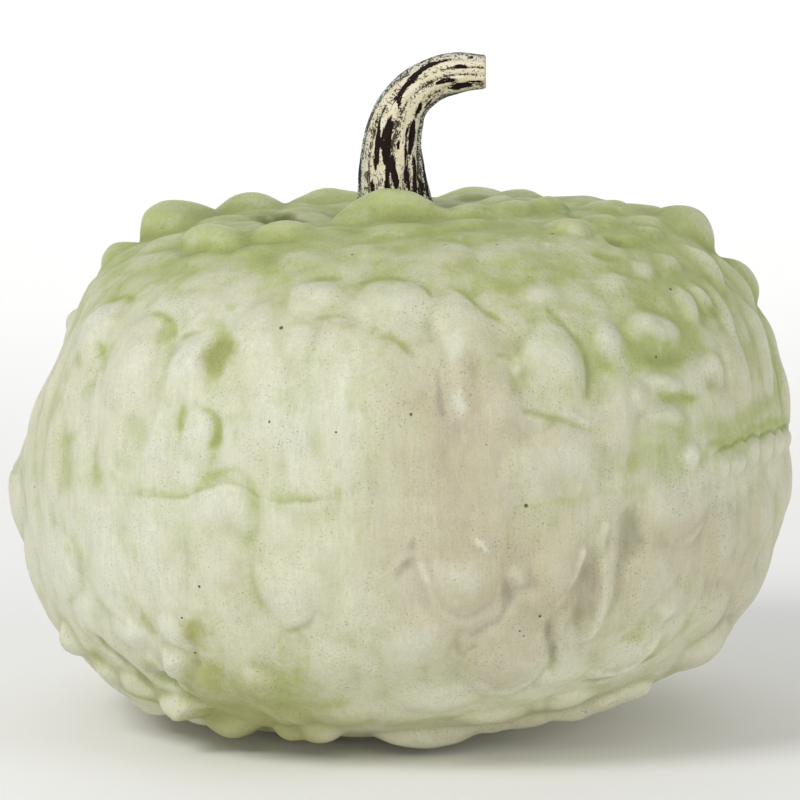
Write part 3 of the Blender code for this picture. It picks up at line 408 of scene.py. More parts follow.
# The mould seam as it wanders: longitude, and height above or below its mean.
SEAM_LINE = (
    (-180, 0), (-120, 0.6), (-95, -1.5), (-80, -1.2), (-62, -0.4), (-42, 0.2), (-32, 0.4), (-28.5, 3.4),
    (-25, 6), (-22, 5.2), (-20, 0.8), (-17, -0.9), (-8, -1), (10, -1.4), (30, -1), (47, -0.8),
    (55, 1.8), (62, 2.3), (70, 1.3), (80, -0.4), (110, -0.6), (150, -0.5), (180, 0),
)

# Where the seam shows: longitude and strength.
SEAM_SHOWS = (
    (-180, 0.6), (-95, 0.8), (-84, 0.5), (-76, 0.15), (-46, 0.1), (-40, 0.35), (-33, 0.45), (-20, 0.6),
    (-19, 0.15), (-17.5, 0.5), (-10.5, 0.5), (-9, 0.1), (50, 0.1), (54, 0.6), (60, 0.8), (90, 0.8),
    (110, 0.6), (180, 0.6),
)

# Bare dark strokes on the stem: distance along it and round it, half length, half width, slope, strength.
# The distance round is 0 at the front and grows towards the outer, left-hand side of the bend.
STEM_STROKES = (
    (32, 6.2, 9, 1.1, 0.02, 1), (33, 2.4, 9, 1.8, 0.03, 1), (21.5, -0.8, 7, 1.3, 0, 1),
    (19, 2.1, 6, 0.9, 0, 0.9), (36.5, -7.4, 8, 1.5, 0, 1), (33, -5.2, 9, 0.5, 0, 0.8),
    (20, -9.4, 8, 1.1, 0.04, 1), (19, -6, 5, 0.9, 0, 0.9), (15, -12.6, 7, 0.6, 0.1, 0.9),
    (11, 0.8, 6, 0.8, 0, 1), (9, -3.2, 7, 0.8, 0, 0.95), (9, -7.6, 8, 1.2, 0, 1),
    (8, -11.2, 7, 1.1, 0, 1), (33, -2.3, 2, 0.6, 0, 0.8), (16, 8.6, 3.6, 1, 0, 0.9),
    (11, 10.5, 2.2, 0.9, -0.3, 0.9), (58.5, 5.2, 10.5, 1.25, 0.15, 1), (50.5, 3, 3.4, 1, 0.4, 1),
    (67.5, -2, 3.8, 0.9, 0, 1), (73.5, -5.6, 5, 1.3, 0.05, 1), (73.5, 2.4, 2.2, 0.8, 0, 0.9),
    (77, 6.3, 1.3, 0.5, 0, 0.9), (78, 11.4, 9, 1, 0, 1), (51, -5.8, 2.8, 1.2, 0.1, 1),
    (56, -7.4, 3.6, 0.6, 0.1, 0.8), (61, -9, 6, 0.7, 0.1, 0.7), (79, -3.2, 3, 0.5, 0, 0.7),
    (64, 9.8, 7, 0.6, 0, 0.6), (22, -16, 12, 1.6, 0, 0.9), (24, 18, 14, 1.5, 0, 0.8),
    (40, 23, 14, 2, 0, 0.9), (18, 30, 12, 2.2, 0, 0.9), (44, 33, 12, 1.6, 0, 0.9),
    (60, 20, 10, 1.5, 0, 0.9), (34, -22, 15, 2, 0, 0.9), (56, -17, 12, 1.6, 0, 0.9),
    (20, -31, 12, 2.2, 0, 0.9),
)

# The rings that close the stem's end: scale, push outwards, one in how many columns remains, and how far
# they lie on the end face, from 0 to 1.
STEM_END_RINGS = (
    (0.985, 0.35, 1, 0.015), (0.95, 0.7, 1, 0.05), (0.9, 0.9, 1, 0.1), (0.82, 0.85, 1, 0.18),
    (0.68, 0.45, 1, 0.32), (0.5, 0.1, 2, 1), (0.3, -0.1, 4, 1), (0.12, -0.2, 8, 1),
)

# The profile of a felt pad, from the middle of its underside: share of the radius and of the thickness.
PAD_PROFILE = (
    (0.12, 0), (0.5, 0), (0.85, 0), (0.955, 0.02), (0.99, 0.18), (1, 0.5), (0.99, 0.8), (0.95, 0.97),
    (0.85, 1), (0.5, 0.99), (0.12, 1),
)


def base_radius(latitude, inset=0.0, crown_inset=0.0, floor_inset=0.0):
    """Distance from the body's centre to its smooth surface, a squarish oval turned about the axis."""
    across = np.abs(np.cos(latitude)) / (HALF_WIDTH - inset)
    top = np.abs(np.sin(latitude)) / (TOP_HEIGHT - crown_inset)
    bottom = np.abs(np.sin(latitude)) / (BOTTOM_HEIGHT - floor_inset)
    above = (across**TOP_SQUARENESS + top**TOP_SQUARENESS) ** (-1 / TOP_SQUARENESS)
    below = (across**BOTTOM_SQUARENESS + bottom**BOTTOM_SQUARENESS) ** (-1 / BOTTOM_SQUARENESS)
    return np.where(latitude >= 0, above, below)


def direction(longitude, latitude):
    """Unit vectors for angles in radians: longitude 0 is -Y, and it grows towards +X."""
    level = np.cos(latitude)
    return np.stack(
        [level * np.sin(longitude), -level * np.cos(longitude), np.sin(latitude)], axis=-1
    )


def base_point(longitude, latitude):
    return direction(longitude, latitude) * base_radius(latitude)[..., None]


def ease(t):
    t = np.clip(t, 0, 1)
    return t * t * (3 - 2 * t)


def mound(points, row, power=1.0):
    """The height of one oval mound at each point. A row is longitude, latitude, half width, half height,
    rise, tilt clockwise, edge power, skew to the right, and fade: above 0 the mound dies out downwards,
    below 0 upwards."""
    lon, lat, half_width, half_height, rise, tilt, power, skew, fade = (
        tuple(row) + (0.0, power, 0.0, 0.0)[len(row) - 5 :]
    )
    lon, lat = math.radians(lon), np.array(math.radians(lat))
    east = np.array([math.cos(lon), math.sin(lon), 0.0])
    north = base_point(lon, lat + 0.001) - base_point(lon, lat - 0.001)
    north /= np.linalg.norm(north)
    offset = points - base_point(lon, lat)
    along_east, along_north = offset @ east, offset @ north
    turn = math.radians(tilt)
    across = (along_east * math.cos(turn) - along_north * math.sin(turn)) / (half_width * MM)
    up = (along_east * math.sin(turn) + along_north * math.cos(turn)) / (half_height * MM)
    across = across - skew * np.clip(1 - across**2 - up**2, 0, 1)
    height = np.clip(1 - across**2 - up**2, 0, 1) ** power
    if fade:
        height = height * (1 - abs(fade) + abs(fade) * ease((1 + up * np.sign(fade)) / 1.35))
    near = (offset**2).sum(-1) < (1.6 * max(half_width, half_height) * MM) ** 2
    return np.where(near, rise * MM * height, 0.0)


def noise(points, size, channel=0, stretch=(1.0, 1.0, 1.0)):
    """Smooth value noise from -1 to 1, with features about size metres wide."""
    place = points / (size * np.array(stretch)) + 100.0
    cell = np.floor(place).astype(int)
    part = place - cell
    part = part * part * (3 - 2 * part)
    low, high = cell % LATTICE_SIZE, (cell + 1) % LATTICE_SIZE
    values = LATTICE[channel]

    def line(y, z):
        left = values[low[:, 0], y[:, 1], z[:, 2]]
        right = values[high[:, 0], y[:, 1], z[:, 2]]
        return left + (right - left) * part[:, 0]

    near, far = line(low, low), line(high, low)
    bottom = near + (far - near) * part[:, 1]
    near, far = line(low, high), line(high, high)
    top = near + (far - near) * part[:, 1]
    return bottom + (top - bottom) * part[:, 2]


def warped(points, big, small):
    """The points pushed about a little, so that shapes laid out on them get uneven edges."""
    push = np.stack([noise(points, 0.016, k) for k in (0, 1, 2)], 1) * big * MM
    push += np.stack([noise(points, 0.006, k) for k in (1, 2, 3)], 1) * small * MM
    return points + push


class Surface:
    """An even grid over the smooth body, on which relief and paint are worked out."""

    def __init__(self, columns=1500, rows=760):
        self.columns, self.rows = columns, rows
        fine = np.linspace(-math.pi / 2 + 0.02, math.pi / 2 - 0.02, 4000)
        level, height = self.profile(fine)
        arc = np.concatenate([[0], np.cumsum(np.hypot(np.diff(level), np.diff(height)))])
        self.fine_latitude, self.fine_arc = fine, arc
        self.latitude = np.interp(np.linspace(0, arc[-1], rows), arc, fine)
        self.longitude = np.linspace(-math.pi, math.pi, columns, endpoint=False)
        self.level, self.height = self.profile(self.latitude)
        lon, lat = np.meshgrid(self.longitude, self.latitude)
        self.points = base_point(lon, lat)
        self.flat = self.points.reshape(-1, 3)

    def profile(self, latitude):
        radius = base_radius(latitude)
        return radius * np.cos(latitude), radius * np.sin(latitude)

    def arc(self, latitude):
        return np.interp(latitude, self.fine_latitude, self.fine_arc)

    def latitude_at(self, arc):
        return np.interp(arc, self.fine_arc, self.fine_latitude)

    def window(self, row):
        """The part of the grid that one mound can reach."""
        lon, lat = math.radians(row[0]), math.radians(row[1])
        reach = (1.25 * max(row[2], row[3]) + 6) * MM
        level, height = self.profile(np.array(lat))
        near = np.nonzero(np.hypot(self.level - level, self.height - height) <= reach)[0]
        rows = np.arange(near[0], near[-1] + 1)
        half = reach / max(self.level[rows].min(), 0.0001)
        if half >= math.pi:
            return np.ix_(rows, np.arange(self.columns))
        middle = round((lon + math.pi) / (2 * math.pi) * self.columns)
        count = math.ceil(half / (2 * math.pi) * self.columns)
        return np.ix_(rows, np.arange(middle - count, middle + count + 1) % self.columns)

    def blur(self, field, spread):
        """The field smoothed by a Gaussian of that spread in metres."""
        pitch = 2 * math.pi * np.maximum(self.level, 0.004) / self.columns
        waves = np.fft.rfftfreq(self.columns)[None]
        damp = np.exp(-2 * (math.pi * waves * (spread / pitch)[:, None]) ** 2)
        out = np.fft.irfft(np.fft.rfft(field, axis=1) * damp, self.columns, axis=1)
        step = np.hypot(np.diff(self.level), np.diff(self.height)).mean()
        extra = int(4 * spread / step) + 1
        tall = np.concatenate([out[extra:0:-1], out, out[-2 : -extra - 2 : -1]])
        waves = np.fft.rfftfreq(len(tall))[:, None]
        damp = np.exp(-2 * (math.pi * waves * spread / step) ** 2)
        tall = np.fft.irfft(np.fft.rfft(tall, axis=0) * damp, len(tall), axis=0)
        return tall[extra : extra + self.rows]

    def mounds(self, rows, points, blend):
        """All mounds together, blended so that neighbours meet in a soft crease."""
        total = np.zeros((self.rows, self.columns))
        for row in rows:
            part = self.window(row)
            total[part] += np.expm1(mound(points[part], row) / blend)
        return blend * np.log1p(total)

    def deepest(self, rows, points):
        out = np.zeros((self.rows, self.columns))
        for row in rows:
            part = self.window(row)
            out[part] = np.maximum(out[part], mound(points[part], row))
        return out

    def strokes(self, rows, points):
        """Soft-edged bands along the typed lines, narrowing and fading towards their ends."""
        out = np.zeros((self.rows, self.columns))
        for half_width, strength, *line in rows:
            corners = base_point(*np.radians(np.reshape(line, (-1, 2))).T)
            lengths = np.linalg.norm(np.diff(corners, axis=0), axis=1)
            total = lengths.sum()
            taper = min(1.8 * half_width * MM, 0.35 * total) + 1e-6
            passed = 0.0
            for start, end, length in zip(corners, corners[1:], lengths):
                middle = (start + end) / 2
                around = math.degrees(math.atan2(middle[0], -middle[1]))
                up = math.degrees(math.atan2(middle[2], math.hypot(middle[0], middle[1])))
                reach = length / MM / 2 + 2.6 * half_width + 3
                part = self.window((around, up, reach, reach))
                offset = points[part] - start
                share = np.clip(offset @ (end - start) / length**2, 0, 1)
                along = passed + share * length
                full = ease(0.12 + np.minimum(along, total - along) / taper)
                far = np.linalg.norm(offset - share[..., None] * (end - start), axis=-1)
                far /= half_width * MM * (0.5 + 0.5 * full)
                band = strength * (0.5 + 0.5 * full) * np.exp(-(far**2))
                out[part] = np.maximum(out[part], band)
                passed += length
        return out

    def patches(self, rows, points):
        """Soft-edged patches, as strengths from 0 to 1."""
        clear = np.ones((self.rows, self.columns))
        for lon, lat, half_width, half_height, strength in rows:
            spot = (lon, lat, half_width * 1.3, half_height * 1.3, 1 / MM)
            part = self.window(spot)
            clear[part] *= 1 - strength * mound(points[part], spot, PATCH_POWER)
        return 1 - clear

    def sample(self, field, longitude, latitude):
        """The field at those angles, in radians, from the four grid points around each."""
        u = (np.asarray(longitude) + math.pi) / (2 * math.pi) * self.columns
        v = np.interp(latitude, self.latitude, np.arange(self.rows))
        left, below = np.floor(u).astype(int), np.clip(np.floor(v).astype(int), 0, self.rows - 2)
        fu, fv = u - left, v - below
        right, left = (left + 1) % self.columns, left % self.columns
        bottom = field[below, left] * (1 - fu) + field[below, right] * fu
        top = field[below + 1, left] * (1 - fu) + field[below + 1, right] * fu
        return bottom * (1 - fv) + top * fv


def calmed(row):
    """The front's lobes are shallower than the knobs around the outline."""
    row = list(row)
    aside = ease((abs(row[0]) - 45) / 30)
    above = ease((row[1] - 30) / 18)
    below = ease((-24 - row[1]) / 12)
    row[4] *= FRONT_CALM + (1 - FRONT_CALM) * max(aside, above, below)
    return row


def small_knobs():
    """Knobs spread evenly by the golden angle: full size over the back, faint over the front."""
    dice = random.Random(SCATTER_SEED)
    rows = []
    for i in range(SCATTER_COUNT):
        lat = math.degrees(math.asin(-1 + 2 * (i + 0.5) / SCATTER_COUNT)) + dice.uniform(-2, 2)
        lon = (i * GOLDEN_ANGLE) % 360 - 180 + dice.uniform(-3, 3)
        half_width = dice.uniform(9, 17)
        half_height = half_width * dice.uniform(0.8, 1.8)
        rise = dice.uniform(2.0, 4.6) if abs(lon) > 100 else dice.uniform(0.3, 1.0)
        if lat > 45:
            half_height = min(half_height, half_width)
            rise = max(rise * 0.8, 1.2 if abs(lon) > 100 else 0.5)
        tilt, power, skew = dice.uniform(-20, 20), dice.uniform(1.0, 1.5), dice.uniform(-0.3, 0.3)
        fade = dice.uniform(0.2, 1.0) * (1 if lat > -10 else -1)
        if -62 < lat < 74:
            rows.append((lon, lat, half_width, half_height, rise, tilt, power, skew, fade))
    return rows


def build_surface():
    """The grid with its relief, its rise above the smooth body in metres, and its paint masks."""
    grid = Surface()
    shape = (grid.rows, grid.columns)
    points = warped(grid.flat, 2.2, 0.8).reshape(grid.points.shape)
    knobs = grid.mounds([calmed(row) for row in KNOBS] + small_knobs(), points, BLEND)
    relief = grid.blur(knobs - grid.deepest(DENTS, points), SOFT)
    near = warped(grid.flat, 1.8, 0.9).reshape(grid.points.shape)
    lines = 1.15 * grid.strokes(RIDGES, near) - 0.9 * grid.strokes(CREASES, near)
    relief += grid.blur(lines, 0.5 * MM) * MM
    uneven = noise(grid.flat, 0.011, 3, (1, 1, 2.0)) * 0.6 + noise(grid.flat, 0.005, 2, (1, 1, 2.2)) * 0.25
    relief += uneven.reshape(shape) * MM
    swell = sum(mound(grid.points, row, SWELL_POWER) for row in SWELLS)
    grid.rise = relief + swell

    broad, wide, narrow = (grid.blur(relief, size * MM) for size in (13, 5, 1.8))
    grid.masks = {
        "valley": np.clip((broad - relief) / (3.0 * MM), 0, 1),
        "hill": np.clip((relief - broad) / (3.0 * MM), 0, 1),
        "hollow": np.clip((wide - relief) / (1.4 * MM), 0, 1),
        "crest": np.clip((relief - wide) / (1.4 * MM), 0, 1),
        "crease": np.clip((narrow - relief) / (0.25 * MM), 0, 1),
    }
    far = warped(grid.flat, 6.0, 2.0).reshape(grid.points.shape)
    paints = {
        "green": (GREEN_PATCHES, GREEN_STROKES),
        "olive": (OLIVE_PATCHES, OLIVE_STROKES),
        "beige": (BEIGE_PATCHES, ()),
        "grey": ((), SHADE_GREY_STROKES),
        "pale": (PALE_PATCHES, PALE_PAINT_AND_HIGHLIGHT_STROKES),
        "dark": ((), CRACK_AND_SHADOW_STROKES),
    }
    for name, (patches, strokes) in paints.items():
        clear = (1 - grid.patches(patches, far)) * (1 - grid.strokes(strokes, near))
        grid.masks[name] = 1 - clear
    top = ease((grid.latitude - math.radians(30)) / math.radians(23))[:, None]
    grid.masks["green"] = 1 - (1 - grid.masks["green"]) * (1 - 0.75 * top)
    grid.masks["top"] = np.broadcast_to(top, shape)
    # Where the paint lays painted bounce light, lightening the underside.
    under = ease((math.radians(-24) - grid.latitude) / math.radians(16))[:, None]
    grid.masks["under"] = np.broadcast_to(under, shape)
    return grid


def to_world(points):
    """From the body's own frame, which leans a little and is slightly shallower than wide, to the world."""
    x, y, z = points[..., 0], points[..., 1] * DEPTH_SHARE, points[..., 2]
    c, s = math.cos(LEAN), math.sin(LEAN)
    return np.stack([c * x - s * z, y, s * x + c * z + CENTRE_HEIGHT], axis=-1)


def uneven_longitudes(count):
    """Longitudes of the columns of a ring, twice as close together on the front as on the back."""
    fine = np.linspace(-math.pi, math.pi, 2001)
    weight = 1 + ease((math.radians(118) - np.abs(fine)) / math.radians(24))
    total = np.concatenate([[0], np.cumsum((weight[1:] + weight[:-1]) / 2)])
    return np.interp(np.arange(count) / count * total[-1], total, fine)


class Rings:
    """Rings of points joined one after the other into one closed mesh. A ring may have a whole share of the
    points of the ring before it, or a whole multiple of them."""

    def __init__(self):
        self.points, self.faces, self.masks = [], [], {}
        self.starts = []
        self.total = 0

    def add(self, points, **masks):
        count = len(points)
        for name in set(masks) | set(self.masks):
            column = self.masks.setdefault(name, [])
            missing = self.total - sum(len(part) for part in column)
            if missing:
                column.append(np.zeros(missing))
            column.append(np.broadcast_to(np.asarray(masks.get(name, 0.0), float), (count,)))
        self.points.append(points)
        if self.starts:
            self.join(self.starts[-1], (self.total, count))
        self.starts.append((self.total, count))
        self.total += count

    def close(self):
        self.join(self.starts[-1], self.starts[0])

    def cap(self, first=False):
        start, count = self.starts[-1]
        face = list(range(start, start + count))
        self.faces.append(face[::-1] if first else face)

    def join(self, first, second):
        if first[1] >= second[1]:
            self.fan(first, second, False)
        else:
            self.fan(second, first, True)

    def fan(self, fine, coarse, flip):
        (start, count), (other, few) = fine, coarse
        share = count // few
        assert share * few == count
        for i in range(few):
            this, after = other + i, other + (i + 1) % few
            at = [start + (i * share + k) % count for k in range(share + 1)]
            if share == 1:
                made = [[at[0], at[1], after, this]]
            else:
                half = share // 2
                made = [[at[k], at[k + 1], this] for k in range(half)]
                made.append([at[half], after, this])
                made += [[at[k], at[k + 1], after] for k in range(half, share)]
            self.faces += [face[::-1] for face in made] if flip else made

    def build(self, name, sharp_angle=50.0):
        points = np.concatenate(self.points)
        volume = 0.0
        for face in self.faces:
            a, b, c = points[face[0]], points[face[1]], points[face[2]]
            volume += float(a @ np.cross(b, c)) * (len(face) - 2)
        faces = self.faces if volume > 0 else [face[::-1] for face in self.faces]
        mesh = bpy.data.meshes.new(name)
        mesh.from_pydata(points.tolist(), [], faces)
        mesh.shade_smooth()
        mesh.set_sharp_from_angle(angle=math.radians(sharp_angle))
        for mask, column in self.masks.items():
            values = np.concatenate(column).astype(np.float32)
            mesh.attributes.new(mask, "FLOAT", "POINT").data.foreach_set("value", values)
        mesh.validate()
        return mesh


def line_through(rows, longitude, soft):
    """The value of a typed line at those longitudes in radians, with corners rounded over soft degrees."""
    places, values = np.array(rows).T
    samples = 9
    at = (np.degrees(longitude)[:, None] + np.linspace(-soft, soft, samples) + 180) % 360 - 180
    weight = np.cos(np.linspace(-1.2, 1.2, samples))
    return (np.interp(at, places, values) * weight).sum(1) / weight.sum()


def scallops(degrees):
    """Small teeth along the right-hand stretch of the seam, in mm."""
    where = ease((degrees - 50) / 6) * ease((96 - degrees) / 10)
    phase = degrees * 2 * math.pi / 5.6 + 0.9 * np.sin(degrees / 3.1)
    return where * (np.abs(np.sin(phase / 2)) ** 0.7 - 0.55) * 1.9


def seam_heights(longitude):
    degrees = np.degrees(longitude)
    wander = line_through(SEAM_LINE, longitude, 1.6) + scallops(degrees)
    wander += 0.25 * np.sin(degrees / 2.3) + 0.12 * np.sin(degrees * 1.7)
    return SEAM_HEIGHT + wander * MM


def seam_latitude(longitude, radius_at, half_width):
    """The latitude at which the surface with those radii meets the seam's height."""
    latitude = np.full(len(longitude), math.atan2(SEAM_HEIGHT, half_width))
    for _ in range(SEAM_STEPS):
        latitude = np.arcsin(np.clip(seam_heights(longitude) / radius_at(latitude), -1, 1))
    return latitude


def bell(distance, middle, width):
    return np.exp(-(((distance - middle) / width) ** 2))


def outer_ring(grid, longitude, latitude, seam_distance=None, upper=True):
    """World points of the outside at those angles, and the masks there."""
    radius = base_radius(latitude) + grid.sample(grid.rise, longitude, latitude)
    masks = {name: grid.sample(field, longitude, latitude) for name, field in grid.masks.items()}
    if seam_distance is not None:
        shows = line_through(SEAM_SHOWS, longitude, 0.8)
        near = seam_distance / MM
        radius = radius - shows * 0.6 * MM * bell(near, 0, 0.7)
        lip = 0.35 * bell(near, 2.2, 1.6) if upper else 0.3 * bell(near, 2.6, 2.0)
        radius = radius + shows * lip * MM
        masks["seam"] = shows * bell(near, 0, 5.5 if upper else 1.6)
        masks["seam_line"] = shows * bell(near, 0, 1.1)
    points = to_world(direction(longitude, latitude) * radius[:, None])
    points[:, 2] = np.maximum(points[:, 2], CLEAR_OF_FLOOR)
    return points, masks


def latitude_of_level(grid, level, upper):
    """The latitude at which the smooth body is that far from its axis."""
    latitude = np.linspace(math.radians(22), math.pi / 2, 4000) * (1 if upper else -1)
    across, _ = grid.profile(latitude)
    return np.interp(level, across[::-1], latitude[::-1])


def shifted(level, longitude, shift):
    """Angles and levels of points on a ring that is moved sideways."""
    x, y = level * np.sin(longitude) + shift, -level * np.cos(longitude)
    return np.arctan2(x, -y), np.hypot(x, y)


def outside(rings, grid, columns, upper, pole_shift, inner_level, crown_rings):
    """The outside of one half: all the columns along the wall, then half of them over the crown or floor."""

    def radius_at(latitude):
        return base_radius(latitude) + grid.sample(grid.rise, columns, latitude)

    seam = seam_latitude(columns, radius_at, HALF_WIDTH)
    seam_arc, split_arc = grid.arc(seam), grid.arc(latitude_of_level(grid, SPLIT, upper))
    # Closely spaced rings at the seam settle to an even pitch.
    steps = FIRST_STEP + (1 - FIRST_STEP) * ease(np.arange(WALL_RINGS) / SETTLING_RINGS)
    shares = np.concatenate([[0], np.cumsum(steps)])
    for share in shares / shares[-1]:
        arc = seam_arc + (split_arc - seam_arc) * share
        points, masks = outer_ring(grid, columns, grid.latitude_at(arc), np.abs(arc - seam_arc), upper)
        rings.add(points, **masks)
    inner_arc = grid.arc(latitude_of_level(grid, inner_level, upper))
    for share in np.linspace(0, 1, crown_rings + 1)[1:]:
        latitude = grid.latitude_at(np.array([split_arc + (inner_arc - split_arc) * share]))
        level = grid.profile(latitude)[0][0]
        move = pole_shift * ease(1 - level / (SPLIT * 0.8))
        longitude, across = shifted(level, columns[::2], move)
        points, masks = outer_ring(grid, longitude, latitude_of_level(grid, across, upper))
        rings.add(points, **masks)


def circle(longitude, radius, height, centre_x=0.0, squash=1.0):
    x, y = centre_x + radius * np.sin(longitude), -radius * np.cos(longitude) / squash
    return np.stack([x, y, np.broadcast_to(height, x.shape)], axis=-1)


def body_circle(longitude, radius, height):
    """A level circle round the stem's seat in the body's own frame, as world points."""
    return to_world(circle(longitude, radius, height, SEAT_X, DEPTH_SHARE))


def inner_radius(latitude):
    return base_radius(latitude, WALL, CROWN_THICKNESS, FLOOR_THICKNESS)


def inside(rings, columns, upper, pole_shift, inner_level, count=30):
    """The cavity of one half, from its opening to the seam."""
    quarter = columns[::4]
    fine = np.linspace(0, math.pi / 2, 3000) * (1 if upper else -1)
    across = inner_radius(fine) * np.cos(fine)
    pole_latitude = np.interp(inner_level, across[::-1], fine[::-1])
    seam = seam_latitude(quarter, inner_radius, HALF_WIDTH - WALL)
    for share in np.linspace(0, 1, count):
        latitude = pole_latitude + (seam - pole_latitude) * share
        level = inner_radius(latitude) * np.cos(latitude)
        move = pole_shift * ease(1 - level / ((HALF_WIDTH - WALL) * 0.7)) * (share < 1)
        longitude, out = shifted(level, quarter, move)
        latitude = np.where(move == 0, latitude, np.interp(out, across[::-1], fine[::-1]))
        surface = base_point(longitude, latitude)
        swell = sum(mound(surface, row, SWELL_POWER) for row in CAVITY_SWELLS)
        points = direction(longitude, latitude) * (inner_radius(latitude) + swell)[:, None]
        rings.add(to_world(points), inside=1.0)


def upper_shell(grid):
    columns = uneven_longitudes(COLUMNS)
    rings = Rings()
    outside(rings, grid, columns, True, SEAT_X, SEAT_RADIUS + 0.6 * MM, CROWN_RINGS)
    half, quarter = columns[::2], columns[::4]
    # The seat's rim gets the full hollow mask, so the paint lays painted shade and green where the stem
    # meets the body.
    rings.add(body_circle(half, SEAT_RADIUS, SEAT_HEIGHT + 0.8 * MM), hollow=1.0, green=0.6)
    rings.add(body_circle(quarter, SEAT_RADIUS - 0.5 * MM, SEAT_HEIGHT), hollow=1.0, green=0.6)
    ceiling = TOP_HEIGHT - CROWN_THICKNESS - 6.5 * MM
    for radius, height in (
        (BORE_RADIUS + 0.3 * MM, SEAT_HEIGHT),
        (BORE_RADIUS, SEAT_HEIGHT - 0.5 * MM),
        (BORE_RADIUS, ceiling + 1.5 * MM),
    ):
        rings.add(body_circle(quarter, radius, height), inside=1.0)
    inside(rings, columns, True, SEAT_X, BORE_RADIUS + 1.2 * MM)
    rings.close()
    return rings.build("upper_shell_skin")


def lower_shell(grid):
    columns = uneven_longitudes(COLUMNS)
    rings = Rings()
    foot_shift = -(BOTTOM_HEIGHT - 2 * MM) * math.tan(LEAN)
    outside(rings, grid, columns, False, foot_shift, FOOT_EDGE, FLOOR_RINGS)
    half, quarter = columns[::2], columns[::4]
    rings.add(circle(half, FOOT_RADIUS + 0.6 * MM, FOOT_HEIGHT + 2.2 * MM), olive=0.3)
    rings.add(circle(half, FOOT_RADIUS, FOOT_HEIGHT + 0.9 * MM), olive=0.2)
    rings.add(circle(half, FOOT_RADIUS - 0.9 * MM, FOOT_HEIGHT), inside=0.7)
    for radius, rise in (
        (FOOT_RADIUS - 6 * MM, 0.0),
        (RECESS_RADIUS + 0.8 * MM, 0.0),
        (RECESS_RADIUS, 0.8 * MM),
        (RECESS_RADIUS, RECESS_DEPTH - 0.5 * MM),
        (RECESS_RADIUS - 0.5 * MM, RECESS_DEPTH),
        (VENT_RADIUS + 0.6 * MM, RECESS_DEPTH),
        (VENT_RADIUS, RECESS_DEPTH + 0.6 * MM),
    ):
        rings.add(circle(quarter, radius, FOOT_HEIGHT + rise), inside=1.0)
    depth = BOTTOM_HEIGHT - FLOOR_THICKNESS
    floor = CENTRE_HEIGHT - depth / math.cos(LEAN) + VENT_RADIUS * np.sin(quarter) * math.tan(LEAN)
    rings.add(circle(quarter, VENT_RADIUS, floor - 0.2 * MM), inside=1.0)
    inside(rings, columns, False, -depth * math.tan(LEAN), VENT_RADIUS + 0.8 * MM)
    rings.close()
    return rings.build("lower_shell_skin")


def spline(rows, count):
    """Points evenly spaced along a smooth line through the rows, with the tangents there."""
    rows = np.array(rows) * MM
    padded = np.concatenate([[2 * rows[0] - rows[1]], rows, [2 * rows[-1] - rows[-2]]])
    line = []
    for a, b, c, d in zip(padded, padded[1:], padded[2:], padded[3:]):
        for t in np.linspace(0, 1, 60, endpoint=False):
            square, cube = 2 * a - 5 * b + 4 * c - d, 3 * b - a - 3 * c + d
            line.append(0.5 * (2 * b + (c - a) * t + square * t**2 + cube * t**3))
    line = np.array(line + [rows[-1]])
    length = np.concatenate([[0], np.cumsum(np.linalg.norm(np.diff(line[:, :3], axis=0), axis=1))])
    places = np.linspace(0, length[-1], count)
    out = np.stack([np.interp(places, length, line[:, k]) for k in range(4)], axis=1)
    tangent = np.gradient(out[:, :3], axis=0)
    return out, tangent / np.linalg.norm(tangent, axis=1)[:, None], places


